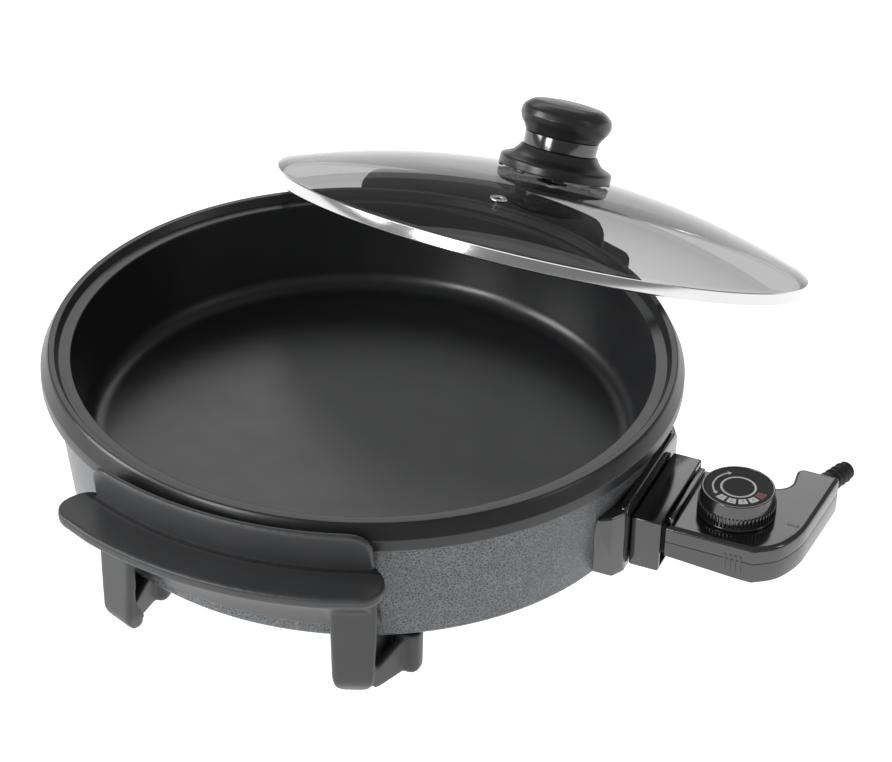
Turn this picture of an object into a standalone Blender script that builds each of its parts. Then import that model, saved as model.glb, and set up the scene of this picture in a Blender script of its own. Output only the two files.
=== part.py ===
"""An electric party pan with a plug-in thermostat and a loose glass lid that leans on the pan.

The pan stands on two moulded handles, one at -Y and one at +Y. The thermostat plugs in at +X.
Places are in the pan's own frame, whose Z axis is the bowl's axis and whose zero is the table.
At the end the whole assembly is moved so that the middle of its box is over the world's origin.
"""

import math

import bmesh
import bpy
import numpy as np
from mathutils import Matrix, Vector

MM = 0.001

# Clearances and helper sizes
GAP = 0.3 * MM
OVERRUN = 4.0 * MM
SINK = 1.0 * MM
SIDES_WIDE = 60
SIDES_ARC = 80
SIDES_MIDDLE = 36
SIDES_SMALL = 16
SIDES_SCREW = 10

# Bowl and collar
RIM_Z = 128.6 * MM
COLLAR_RADIUS = 210.0 * MM
SHOULDER_INSET = 4.4 * MM
SHOULDER_RADIUS = COLLAR_RADIUS - SHOULDER_INSET
RIM_INSET = 0.9 * MM
RIM_OUTER_RADIUS = SHOULDER_RADIUS - RIM_INSET
RIM_WIDTH = 3.9 * MM
RIM_INNER_RADIUS = RIM_OUTER_RADIUS - RIM_WIDTH
SEAT_SLOPE = 2.5 * MM
SEAT_OUTER_RADIUS = RIM_INNER_RADIUS - SEAT_SLOPE
SEAT_WIDTH = 7.9 * MM
SEAT_INNER_RADIUS = SEAT_OUTER_RADIUS - SEAT_WIDTH
SEAT_DROP = 5.0 * MM
SHOULDER_DROP = 9.5 * MM
SKIRT_DROP = 17.5 * MM
SKIRT_WALL = 2.2 * MM
EDGE_SOFTNESS = 0.8 * MM
COLLAR_THICKNESS = 3.4 * MM
BOWL_WALL = 2.6 * MM
BOWL_DEPTH = 67.1 * MM
BOWL_FLOOR_Z = RIM_Z - BOWL_DEPTH
BOWL_FLOOR_THICKNESS = 4.0 * MM
BOWL_DRAFT = 9.4 * MM
BOWL_BOTTOM_RADIUS = SEAT_INNER_RADIUS - BOWL_DRAFT
BOWL_CORNER = 13.0 * MM
BOWL_CORNER_STEPS = 3

# Outer jacket and base
JACKET_PLAY = 4.8 * MM
JACKET_TOP_RADIUS = COLLAR_RADIUS - SKIRT_WALL - JACKET_PLAY
JACKET_OVERLAP = 5.4 * MM
JACKET_TOP_Z = RIM_Z - SKIRT_DROP + JACKET_OVERLAP
JACKET_TAPER = 10.5 * MM
JACKET_LOW_RADIUS = JACKET_TOP_RADIUS - JACKET_TAPER
JACKET_LOW_Z = 36.4 * MM
JACKET_BOTTOM_Z = 31.7 * MM
JACKET_CORNER = 3.2 * MM
JACKET_WALL = 1.0 * MM
FLANGE_WIDTH = 52.5 * MM
FLANGE_INNER_RADIUS = JACKET_LOW_RADIUS - FLANGE_WIDTH
COVER_LAP = 11.5 * MM
COVER_RADIUS = FLANGE_INNER_RADIUS + COVER_LAP
COVER_THICKNESS = 1.0 * MM
COVER_DISH = 2.0 * MM
COVER_DISH_INSET = 23.5 * MM
COVER_DISH_RADIUS = COVER_RADIUS - COVER_DISH_INSET
COVER_DISH_SLOPE = 4.0 * MM
BASE_SCREW_SETBACK = 5.5 * MM
BASE_SCREW_CIRCLE = COVER_RADIUS - BASE_SCREW_SETBACK
BASE_SCREW_COUNT = 3
BOSS_RADIUS = 5.0 * MM

# Front plane of the socket
BRACKET_STANDOFF = 0.2 * MM
BRACKET_FRONT_X = JACKET_TOP_RADIUS + BRACKET_STANDOFF
SHROUD_LENGTH = 20.3 * MM
SHROUD_END_X = BRACKET_FRONT_X + SHROUD_LENGTH

# Screws
SHANK_RADIUS = 1.5 * MM
HEAD_RADIUS = 3.4 * MM
HEAD_HEIGHT = 2.3 * MM
SCREW_REACH = 9.0 * MM
DRIVE_RADIUS = 1.3 * MM
DRIVE_DEPTH = 1.1 * MM

# Heating element
ELEMENT_RADIUS = 3.3 * MM
ELEMENT_INSET = 56.0 * MM
ELEMENT_LOOP = BOWL_BOTTOM_RADIUS - ELEMENT_INSET
ELEMENT_MOUTH_DEGREES = 9.0
ELEMENT_STEPS = 30
TERMINAL_SPACING = 25.4 * MM
TERMINAL_Z = 60.0 * MM
ELEMENT_BEND_SETBACK = 25.2 * MM
ELEMENT_BEND_X = BRACKET_FRONT_X - ELEMENT_BEND_SETBACK
ELEMENT_RISE_SETBACK = 9.2 * MM
ELEMENT_RISE_X = BRACKET_FRONT_X - ELEMENT_RISE_SETBACK
ELEMENT_END_SETBACK = 0.2 * MM
ELEMENT_END_X = BRACKET_FRONT_X - ELEMENT_END_SETBACK
CLAMP_COUNT = 3
CLAMP_WIDTH = 9.0 * MM
CLAMP_THICKNESS = 1.0 * MM
CLAMP_REACH = 15.0 * MM
CLAMP_PLAY = 0.9 * MM
PIN_RADIUS = 2.4 * MM
PIN_SETBACK = 2.5 * MM
PIN_END_X = SHROUD_END_X - PIN_SETBACK
PIN_TIP = 1.0 * MM

# Sensor guide under the bowl
GUIDE_RADIUS = 4.2 * MM
GUIDE_SETBACK = 16.2 * MM
GUIDE_LENGTH = 37.0 * MM
GUIDE_END_X = BRACKET_FRONT_X - GUIDE_SETBACK
GUIDE_START_X = GUIDE_END_X - GUIDE_LENGTH

# Socket on the pan
BRACKET_LOW_Z = 35.8 * MM
BRACKET_TOP_Z = 83.5 * MM
BRACKET_DEPTH = 33.2 * MM
BRACKET_BACK_X = BRACKET_FRONT_X - BRACKET_DEPTH
BRACKET_HALF_WIDTH = 62.5 * MM
BRACKET_SWEEP = 11.7 * MM
BRACKET_WING_X = BRACKET_FRONT_X - BRACKET_SWEEP
BRACKET_WING = 16.0 * MM
BRACKET_FRONT_HALF = BRACKET_HALF_WIDTH - BRACKET_WING
BRACKET_CHAMFER = 5.0 * MM
RIDGE_RISE = 4.5 * MM
RIDGE_TOP_Z = BRACKET_TOP_Z + RIDGE_RISE
RIDGE_THICKNESS = 4.7 * MM
RIDGE_LAP = 1.0 * MM
RIDGE_HALF_WIDTH = BRACKET_FRONT_HALF + RIDGE_LAP
RIDGE_CORNER = 7.0 * MM
SOCKET_HALF_WIDTH = 30.0 * MM
SOCKET_LOW_Z = 44.5 * MM
SOCKET_TOP_Z = 71.5 * MM
JACKET_SLOT_HALF_WIDTH = 23.5 * MM
JACKET_SLOT_LOW_Z = 47.5 * MM
JACKET_SLOT_TOP_Z = 67.5 * MM
SHROUD_HALF_WIDTH = 40.0 * MM
SHROUD_LOW_Z = 38.0 * MM
SHROUD_TOP_Z = 75.0 * MM
SHROUD_WALL = 2.6 * MM
SHROUD_CHAMFER = 1.2 * MM
EARTH_WIDTH = 8.0 * MM
EARTH_THICKNESS = 0.8 * MM
EARTH_RISE = 3.5 * MM

# Handles, given for the one at -Y
HANDLE_REACH = 37.5 * MM
HANDLE_LEDGE_RADIUS = COLLAR_RADIUS + HANDLE_REACH
HANDLE_LEDGE_TOP_Z = 103.0 * MM
HANDLE_LEDGE_THICKNESS = 8.5 * MM
PLATE_BACK_INSET = 5.5 * MM
PLATE_BACK_RADIUS = COLLAR_RADIUS - PLATE_BACK_INSET
LEDGE_ROOT = 1.7 * MM
HANDLE_LEDGE_INNER_RADIUS = PLATE_BACK_RADIUS - LEDGE_ROOT
HANDLE_LEDGE_HALF_DEGREES = 27.2
HANDLE_LEDGE_CORNER = 21.0 * MM
HANDLE_LEDGE_INNER_CORNER = 13.0 * MM
HANDLE_EDGE_BEVEL = 1.6 * MM
PLATE_RISE = 4.9 * MM
PLATE_TOP_Z = RIM_Z + PLATE_RISE
PLATE_STANDOFF = 9.0 * MM
PLATE_FOOT_RADIUS = COLLAR_RADIUS + PLATE_STANDOFF
PLATE_LEAN = 7.0 * MM
PLATE_TOP_RADIUS = PLATE_FOOT_RADIUS + PLATE_LEAN
PLATE_THICKNESS = 4.6 * MM
PLATE_HALF_WIDTH = 92.5 * MM
PLATE_CORNER = 13.0 * MM
APRON_LIP_INSET = 3.5 * MM
APRON_LIP_RADIUS = HANDLE_LEDGE_RADIUS - APRON_LIP_INSET
APRON_STANDOFF = 6.0 * MM
APRON_LOW_RADIUS = JACKET_LOW_RADIUS + APRON_STANDOFF
APRON_LOW_Z = 47.5 * MM
APRON_BACK_STANDOFF = 3.1 * MM
APRON_BACK_RADIUS = JACKET_LOW_RADIUS + APRON_BACK_STANDOFF
APRON_BACK_INSET = 1.8 * MM
APRON_BACK_TOP_RADIUS = JACKET_TOP_RADIUS - APRON_BACK_INSET
APRON_SIDE_INSET = 2.0 * MM
APRON_HALF_WIDTH = PLATE_HALF_WIDTH - APRON_SIDE_INSET
APRON_WALL = 5.0 * MM
APRON_STEPS = 4
APRON_SAG = 3.0 * MM
LEG_DEGREES = 22.8
LEG_STANDOFF = 13.5 * MM
LEG_FACE_RADIUS = APRON_LOW_RADIUS + LEG_STANDOFF
LEG_THICKNESS = 6.0 * MM
LEG_WIDTH = 29.0 * MM
LEG_ROUND = 5.6 * MM
FOOT_INSET = 7.0 * MM
FOOT_INNER_X = LEG_FACE_RADIUS * math.sin(math.radians(LEG_DEGREES)) - FOOT_INSET
FOOT_SPACING = 25.0 * MM
FOOT_OUTER_X = FOOT_INNER_X + FOOT_SPACING
FOOT_SETBACK = 40.5 * MM
FOOT_Y = JACKET_LOW_RADIUS - FOOT_SETBACK
FOOT_WIDTH = 18.0 * MM
FOOT_DEPTH = 15.0 * MM
FOOT_ROUND = 5.0 * MM
GUSSET_THICKNESS = 5.0 * MM
GUSSET_HEIGHT = 30.0 * MM
GUSSET_BACK_HEIGHT = 28.0 * MM
SCREW_WELL_RADIUS = 4.2 * MM
SCREW_WELL_DEPTH = 12.0 * MM

# Thermostat case
CASE_PLAY = 1.5 * MM
CASE_FRONT_X = SHROUD_END_X + CASE_PLAY
CASE_HALF_WIDTH = 36.0 * MM
CASE_TOP_Z = 71.0 * MM
CASE_LID_HEIGHT = 11.5 * MM
CASE_PART_Z = CASE_TOP_Z - CASE_LID_HEIGHT
CASE_LOW_Z = 45.0 * MM
CASE_FLOOR_RISE = 4.0 * MM
CASE_FRONT_LOW_Z = CASE_LOW_Z + CASE_FLOOR_RISE
CASE_LENGTH = 59.0 * MM
CASE_BEND_X = CASE_FRONT_X + CASE_LENGTH
CASE_WALL = 2.2 * MM
CASE_EDGE = 1.2 * MM
ARM_SETBACK = 1.0 * MM
ARM_WIDTH = 25.0 * MM
ARM_INNER_X = CASE_BEND_X + ARM_SETBACK
ARM_OUTER_X = ARM_INNER_X + ARM_WIDTH
ARM_END_Y = 64.5 * MM
ARM_BULGE_INSET = 3.7 * MM
ARM_BULGE_X = ARM_OUTER_X - ARM_BULGE_INSET
HEEL_RUN = 13.5 * MM
HEEL_RISE = 9.5 * MM
CASE_CORNER = 3.0 * MM
ARM_CORNER = 3.0 * MM
HEEL_RADIUS = 16.0 * MM
ELBOW_RADIUS = 8.0 * MM
LIP_RISE = 4.0 * MM
LIP_TOP_Z = CASE_TOP_Z + LIP_RISE
LIP_THICKNESS = 4.0 * MM
LIP_SIDE_INSET = 5.0 * MM
LIP_HALF_WIDTH = CASE_HALF_WIDTH - LIP_SIDE_INSET
CASE_SCREW_HEAD = 2.6 * MM
CASE_SCREW_SHANK = 1.1 * MM
CASE_BOSS_RADIUS = 3.4 * MM
CASE_SCREW_REACH = 9.0 * MM
CASE_HEAD_HEIGHT = 1.6 * MM
CASE_SCREW_PLACES = (
    (CASE_FRONT_X + 19.0 * MM, -CASE_HALF_WIDTH + 9.0 * MM),
    (CASE_FRONT_X + 19.0 * MM, CASE_HALF_WIDTH - 9.0 * MM),
    (ARM_INNER_X + 14.0 * MM, ARM_END_Y - 30.0 * MM),
)
LENS_INSET = 12.0 * MM
LENS_X = ARM_OUTER_X - LENS_INSET
LENS_LENGTH = 7.0 * MM
LENS_WIDTH = 2.2 * MM
LENS_DEPTH = 1.3 * MM

# Inside the thermostat
NOSE_SETBACK = 5.3 * MM
NOSE_START_X = BRACKET_FRONT_X + NOSE_SETBACK
NOSE_HALF_WIDTH = 32.0 * MM
NOSE_LOW_Z = 47.5 * MM
NOSE_TOP_Z = 69.0 * MM
NOSE_EDGE = 1.0 * MM
CARRIER_REACH = 10.5 * MM
CARRIER_END_X = CASE_FRONT_X + CARRIER_REACH
CARRIER_HALF_WIDTH = 24.0 * MM
CARRIER_HALF_HEIGHT = 8.1 * MM
CARRIER_LOW_Z = TERMINAL_Z - CARRIER_HALF_HEIGHT
CARRIER_TOP_Z = TERMINAL_Z + CARRIER_HALF_HEIGHT
SLEEVE_RADIUS = 4.0 * MM
SLEEVE_COVER = 2.5 * MM
SLEEVE_END_X = CARRIER_END_X - SLEEVE_COVER
SLEEVE_SETBACK = 0.8 * MM
PROBE_RADIUS = 3.0 * MM
PROBE_TIP_SETBACK = 8.0 * MM
PROBE_TIP_X = GUIDE_START_X + PROBE_TIP_SETBACK
PROBE_END_SETBACK = 14.0 * MM
PROBE_END_X = CARRIER_END_X - PROBE_END_SETBACK
SWITCH_LENGTH = 20.0 * MM
SWITCH_WIDTH = 22.0 * MM
SWITCH_HEIGHT = 4.6 * MM
BLADE_WIDTH = 6.0 * MM
BLADE_THICKNESS = 0.5 * MM
CLAMP_BAR_LENGTH = 14.0 * MM
CLAMP_BAR_WIDTH = 6.0 * MM
CLAMP_BAR_HEIGHT = 4.0 * MM
CLAMP_BAR_SETBACK = 12.0 * MM

# Dial
DIAL_SETBACK = 35.3 * MM
DIAL_X = CASE_FRONT_X + DIAL_SETBACK
DIAL_HEIGHT = 18.5 * MM
DIAL_TOP_Z = CASE_TOP_Z + DIAL_HEIGHT
DIAL_TOP_RADIUS = 23.4 * MM
DIAL_DRAFT = 1.8 * MM
DIAL_BASE_RADIUS = DIAL_TOP_RADIUS + DIAL_DRAFT
DIAL_GAP = 0.4 * MM
DIAL_RIB_TOP = 7.4 * MM
DIAL_RIB_DEPTH = 0.6 * MM
DIAL_RIB_COUNT = 36
DIAL_EDGE = 1.0 * MM
DIAL_WALL = 2.4 * MM
DIAL_RIM = 1.6 * MM
DIAL_FACE_RADIUS = DIAL_TOP_RADIUS - DIAL_RIM
DIAL_FACE_THICKNESS = 1.0 * MM
HUB_RADIUS = 6.0 * MM
SPINDLE_RADIUS = 3.0 * MM

# Cord boot
BOOT_DEGREES = 70.0
BOOT_LENGTH = 28.0 * MM
BOOT_ROOT_RADIUS = 6.6 * MM
BOOT_TIP_RADIUS = 6.1 * MM
BOOT_GROOVE = 1.1 * MM
BOOT_RIBS = 4
BOOT_BORE = 3.3 * MM
BOOT_NECK_RADIUS = 5.0 * MM
BOOT_NECK_LENGTH = 7.0 * MM
BOOT_PLAIN_SHARE = 0.3

# Lid, in its own frame: zero is the plane of the band's lower edge
LID_TILT_DEGREES = 23.83
LID_TURN_DEGREES = 84.8
LID_TABLE_GAP = 0.5 * MM
LID_OVERHANG = 36.0 * MM
LID_PLAY = 0.8 * MM
BAND_RADIUS = SEAT_OUTER_RADIUS - LID_PLAY
BAND_HEIGHT = 8.5 * MM
BAND_DEPTH = 5.0 * MM
BAND_WALL = 0.6 * MM
BAND_SOFTNESS = 1.0 * MM
GLASS_THICKNESS = 4.0 * MM
DOME_RISE = 33.5 * MM
DOME_POWER = 2.1
DOME_STEPS = 6
KNOB_HOLE_RADIUS = 4.0 * MM
VENT_DISTANCE = 116.0 * MM
VENT_TURN_DEGREES = -90.0
VENT_HOLE_RADIUS = 4.2 * MM
VENT_FLANGE_RADIUS = 6.0 * MM
VENT_BORE_RADIUS = 2.6 * MM
VENT_FLANGE_THICKNESS = 0.8 * MM
KNOB_BASE_RADIUS = 41.2 * MM
KNOB_BASE_LIFT = 2.6 * MM
KNOB_BASE_RIM = 5.5 * MM
KNOB_BASE_HEIGHT = 16.2 * MM
KNOB_SHOULDER_RADIUS = 28.2 * MM
KNOB_NECK_RADIUS = 27.0 * MM
KNOB_NECK_HEIGHT = 9.6 * MM
KNOB_STEM_RADIUS = 19.0 * MM
KNOB_STEM_EXTRA = 4.0 * MM
KNOB_CAP_RADIUS = 33.4 * MM
KNOB_FLARE_HEIGHT = 12.4 * MM
KNOB_DOME_HEIGHT = 12.6 * MM
KNOB_PAD_COUNT = 8
KNOB_PAD_WIDTH = 8.0 * MM
KNOB_PAD_DEPTH = 4.0 * MM
KNOB_HUB_RADIUS = 12.0 * MM
KNOB_SCREW_RADIUS = 2.5 * MM
KNOB_SCREW_HEAD = 6.0 * MM
KNOB_SCREW_HEAD_HEIGHT = 3.0 * MM
KNOB_SCREW_LENGTH = 24.0 * MM
WASHER_RADIUS = 11.0 * MM
WASHER_THICKNESS = 1.4 * MM

# Places that follow from the sizes above
BOWL_UNDERSIDE_Z = BOWL_FLOOR_Z - BOWL_FLOOR_THICKNESS
FLANGE_TOP_Z = JACKET_BOTTOM_Z + JACKET_WALL
COVER_TOP_Z = JACKET_BOTTOM_Z - GAP
ELEMENT_Z = BOWL_UNDERSIDE_Z - GAP - ELEMENT_RADIUS
SENSOR_Z = BOWL_UNDERSIDE_Z - GAP - GUIDE_RADIUS
SHROUD_START_X = BRACKET_FRONT_X + GAP
FOOT_TOP_Z = JACKET_BOTTOM_Z - GAP
LEDGE_LOW_Z = HANDLE_LEDGE_TOP_Z - HANDLE_LEDGE_THICKNESS
BOOT_Z = (CASE_TOP_Z + CASE_LOW_Z) / 2
BOOT_X = (ARM_INNER_X + ARM_OUTER_X) / 2
DIAL_LOW_Z = CASE_TOP_Z + DIAL_GAP
DIAL_FACE_Z = DIAL_TOP_Z - DIAL_FACE_THICKNESS - GAP
GLASS_EDGE_RADIUS = BAND_RADIUS - BAND_WALL - GAP
GLASS_LOW_Z = BAND_WALL + GAP
DOME_EDGE_RADIUS = GLASS_EDGE_RADIUS - BAND_WALL
DOME_EDGE_Z = BAND_HEIGHT + GAP


def material(name, colour, roughness, metallic=0.0, alpha=1.0, coat=0.0):
    made = bpy.data.materials.new(name)
    made.use_nodes = True
    shader = made.node_tree.nodes["Principled BSDF"]
    shader.inputs["Base Color"].default_value = (*colour, 1.0)
    shader.inputs["Roughness"].default_value = roughness
    shader.inputs["Metallic"].default_value = metallic
    shader.inputs["Coat Weight"].default_value = coat
    shader.inputs["Alpha"].default_value = alpha
    made.diffuse_color = (*colour, alpha)
    return made


def clear_scene():
    for obj in list(bpy.data.objects):
        bpy.data.objects.remove(obj)


def new_collection(name):
    made = bpy.data.collections.new(name)
    bpy.context.scene.collection.children.link(made)
    return made


def empty(name, parent=None, location=(0.0, 0.0, 0.0), rotation=None):
    made = bpy.data.objects.new(name, None)
    made.location = location
    if rotation is not None:
        made.rotation_euler = rotation.to_euler()
    made.parent = parent
    MODEL.objects.link(made)
    return made


def mesh_object(name, bm, finish, parent):
    bmesh.ops.recalc_face_normals(bm, faces=bm.faces)
    mesh = bpy.data.meshes.new(name)
    bm.to_mesh(mesh)
    bm.free()
    mesh.shade_smooth()
    mesh.set_sharp_from_angle(angle=math.radians(35.0))
    made = bpy.data.objects.new(name, mesh)
    made.parent = parent
    if finish is None:
        CUTTERS.objects.link(made)
        made.hide_render = True
        made.display_type = "WIRE"
    else:
        MODEL.objects.link(made)
        mesh.materials.append(finish)
    return made


def turned(name, profile, finish, parent, sides=SIDES_WIDE):
    """A turned piece: the profile's (radius, height) points run down its outer side."""
    mesh = bpy.data.meshes.new(name)
    count = len(profile)
    closed = min(radius for radius, _ in profile) > 0.0
    edges = [(i, (i + 1) % count) for i in range(count if closed else count - 1)]
    mesh.from_pydata([(radius, 0.0, height) for radius, height in profile], edges, [])
    made = bpy.data.objects.new(name, mesh)
    made.parent = parent
    spin = made.modifiers.new("Turn", "SCREW")
    spin.axis = "Z"
    spin.steps = sides
    spin.render_steps = sides
    spin.use_merge_vertices = True
    spin.merge_threshold = 0.00001
    spin.use_smooth_shade = True
    if finish is None:
        CUTTERS.objects.link(made)
        made.hide_render = True
        made.display_type = "WIRE"
    else:
        MODEL.objects.link(made)
        mesh.materials.append(finish)
    return made


def box(name, low, high, finish, parent, bevel=0.0):
    bm = bmesh.new()
    bmesh.ops.create_cube(bm, size=1.0)
    size = Vector(high) - Vector(low)
    middle = (Vector(high) + Vector(low)) / 2
    bmesh.ops.scale(bm, vec=size, verts=bm.verts)
    bmesh.ops.translate(bm, vec=middle, verts=bm.verts)
    if bevel:
        bmesh.ops.bevel(
            bm,
            geom=bm.edges[:],
            offset=bevel,
            segments=2,
            affect="EDGES",
            profile=0.5,
        )
    return mesh_object(name, bm, finish, parent)


def cylinder(name, radius, start, end, finish, parent, sides=SIDES_SMALL, tip=None):
    """A round bar from start to end, whose radius at the end is tip if that is given."""
    start, end = Vector(start), Vector(end)
    along = end - start
    bm = bmesh.new()
    turn = Vector((0.0, 0.0, 1.0)).rotation_difference(along).to_matrix().to_4x4()
    bmesh.ops.create_cone(
        bm,
        cap_ends=True,
        segments=sides,
        radius1=radius,
        radius2=radius if tip is None else tip,
        depth=along.length,
        matrix=Matrix.Translation((start + end) / 2) @ turn,
    )
    return mesh_object(name, bm, finish, parent)


def rounded_outline(corners):
    """Points of an outline whose (x, y, radius) corners are rounded by arcs."""
    points = []
    count = len(corners)
    for index, (x, y, radius) in enumerate(corners):
        here = Vector((x, y))
        if not radius:
            points.append(here)
            continue
        before = Vector(corners[index - 1][:2]) - here
        after = Vector(corners[(index + 1) % count][:2]) - here
        half = before.angle(after) / 2
        reach = radius / math.tan(half)
        centre = here + (before.normalized() + after.normalized()).normalized() * (
            radius / math.sin(half)
        )
        first = here + before.normalized() * reach - centre
        last = here + after.normalized() * reach - centre
        sweep = first.angle_signed(last)
        steps = max(2, round(abs(sweep) / math.radians(18.0)))
        for step in range(steps + 1):
            angle = -sweep * step / steps
            spin = Matrix.Rotation(angle, 2)
            points.append(centre + spin @ first)
    return points


def inset_outline(points, inset):
    """The outline moved inwards by inset, for points that run anticlockwise."""
    moved = []
    count = len(points)
    for index, here in enumerate(points):
        before = (here - points[index - 1]).normalized()
        after = (points[(index + 1) % count] - here).normalized()
        normal_a = Vector((-before.y, before.x))
        normal_b = Vector((-after.y, after.x))
        middle = (normal_a + normal_b).normalized()
        moved.append(here + middle * (inset / max(middle.dot(normal_a), 0.5)))
    return moved


def slab(name, points, low, high, finish, parent, bevel=0.0):
    """An upright prism on an outline. low and high are heights or functions of a point."""
    bm = bmesh.new()
    bottom = [bm.verts.new((p.x, p.y, low(p) if callable(low) else low)) for p in points]
    top = [bm.verts.new((p.x, p.y, high(p) if callable(high) else high)) for p in points]
    count = len(points)
    for i in range(count):
        j = (i + 1) % count
        bm.faces.new((bottom[i], bottom[j], top[j], top[i]))
    bm.faces.new(reversed(bottom))
    lid = bm.faces.new(top)
    if bevel:
        bmesh.ops.bevel(
            bm,
            geom=list(lid.edges),
            offset=bevel,
            segments=2,
            affect="EDGES",
            profile=0.5,
        )
    return mesh_object(name, bm, finish, parent)


def boolean(target, other, operation):
    step = target.modifiers.new(f"{operation.title()} {other.name}", "BOOLEAN")
    step.operation = operation
    step.solver = "EXACT"
    step.object = other


def cut(target, *tools):
    for tool in tools:
        boolean(target, tool, "DIFFERENCE")


def join(target, *tools):
    for tool in tools:
        boolean(target, tool, "UNION")


def screw(name, place, low, finish, parent, head=HEAD_RADIUS, shank=SHANK_RADIUS,
          head_height=HEAD_HEIGHT, reach=SCREW_REACH):
    """A screw driven upwards: its head's underside faces down at the height low."""
    x, y = place
    profile = [
        (0.0, low + head_height + reach),
        (shank, low + head_height + reach),
        (shank, low + head_height),
        (head, low + head_height),
        (head, low + head_height / 3),
        (head * 0.7, low),
        (DRIVE_RADIUS, low),
        (DRIVE_RADIUS, low + DRIVE_DEPTH),
        (0.0, low + DRIVE_DEPTH),
    ]
    made = turned(name, profile, finish, parent, SIDES_SCREW)
    made.location = (x, y, 0.0)
    return made


def polar(radius, degrees):
    angle = math.radians(degrees)
    return radius * math.cos(angle), radius * math.sin(angle)


def jacket_radius(height):
    """The jacket's outer radius at a height of its sloping wall."""
    share = (height - JACKET_LOW_Z) / (JACKET_TOP_Z - JACKET_LOW_Z)
    return JACKET_LOW_RADIUS + share * (JACKET_TOP_RADIUS - JACKET_LOW_RADIUS)


def base_screw_places():
    step = 360.0 / BASE_SCREW_COUNT
    return [
        polar(BASE_SCREW_CIRCLE, step * (index + 0.5)) for index in range(BASE_SCREW_COUNT)
    ]


def handle_screw_places():
    return [
        (side * FOOT_INNER_X, end * FOOT_Y) for end in (-1.0, 1.0) for side in (-1.0, 1.0)
    ]


def make_bowl():
    """The cast bowl: a wide collar with a hanging skirt, a seat for the lid and a flat floor."""
    seat_z = RIM_Z - SEAT_DROP
    wall_top_z = seat_z - COLLAR_THICKNESS
    inner = []
    outer = []
    for step in range(BOWL_CORNER_STEPS + 1):
        angle = math.radians(90.0) * step / BOWL_CORNER_STEPS
        reach = math.sin(angle)
        rise = 1.0 - math.cos(angle)
        inner.append(
            (
                BOWL_BOTTOM_RADIUS - BOWL_CORNER * (1.0 - reach),
                BOWL_FLOOR_Z + BOWL_CORNER * rise,
            )
        )
        big = BOWL_CORNER + BOWL_WALL
        outer.append(
            (
                BOWL_BOTTOM_RADIUS + BOWL_WALL - big * (1.0 - reach),
                BOWL_UNDERSIDE_Z + (big + BOWL_FLOOR_THICKNESS - BOWL_WALL) * rise,
            )
        )
    profile = [
        (RIM_OUTER_RADIUS, RIM_Z),
        (SHOULDER_RADIUS, RIM_Z - EDGE_SOFTNESS),
        (COLLAR_RADIUS - EDGE_SOFTNESS, RIM_Z - SHOULDER_DROP + EDGE_SOFTNESS),
        (COLLAR_RADIUS, RIM_Z - SHOULDER_DROP - EDGE_SOFTNESS),
        (COLLAR_RADIUS, RIM_Z - SKIRT_DROP),
        (COLLAR_RADIUS - SKIRT_WALL, RIM_Z - SKIRT_DROP),
        (COLLAR_RADIUS - SKIRT_WALL, RIM_Z - SHOULDER_DROP - EDGE_SOFTNESS),
        (SHOULDER_RADIUS - EDGE_SOFTNESS, wall_top_z + SINK),
        (SEAT_OUTER_RADIUS, wall_top_z),
        (SEAT_INNER_RADIUS + BOWL_WALL, wall_top_z - BOWL_WALL),
        *reversed(outer),
        (0.0, BOWL_UNDERSIDE_Z),
        (0.0, BOWL_FLOOR_Z),
        *inner,
        (SEAT_INNER_RADIUS - EDGE_SOFTNESS, seat_z - EDGE_SOFTNESS),
        (SEAT_INNER_RADIUS, seat_z),
        (SEAT_OUTER_RADIUS, seat_z),
        (RIM_INNER_RADIUS, RIM_Z - EDGE_SOFTNESS / 2),
        (RIM_INNER_RADIUS + EDGE_SOFTNESS, RIM_Z),
    ]
    # The profile meets the axis twice, so it is opened there and starts at the floor's top.
    start = profile.index((0.0, BOWL_FLOOR_Z))
    loop = profile[start:] + profile[:start]
    bowl = turned("pan_bowl", loop, BLACK_COATING, PAN)
    hole_depth = FLANGE_TOP_Z + SCREW_REACH
    for index, (x, y) in enumerate(base_screw_places() + handle_screw_places()):
        boss = cylinder(
            f"Boss {index}",
            BOSS_RADIUS,
            (x, y, FLANGE_TOP_Z + GAP),
            (x, y, BOWL_UNDERSIDE_Z + SINK),
            None,
            PAN,
        )
        hole = cylinder(
            f"Boss hole {index}",
            SHANK_RADIUS + GAP,
            (x, y, JACKET_BOTTOM_Z),
            (x, y, hole_depth + OVERRUN),
            None,
            PAN,
            sides=SIDES_SCREW,
        )
        join(bowl, boss)
        cut(bowl, hole)


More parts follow.
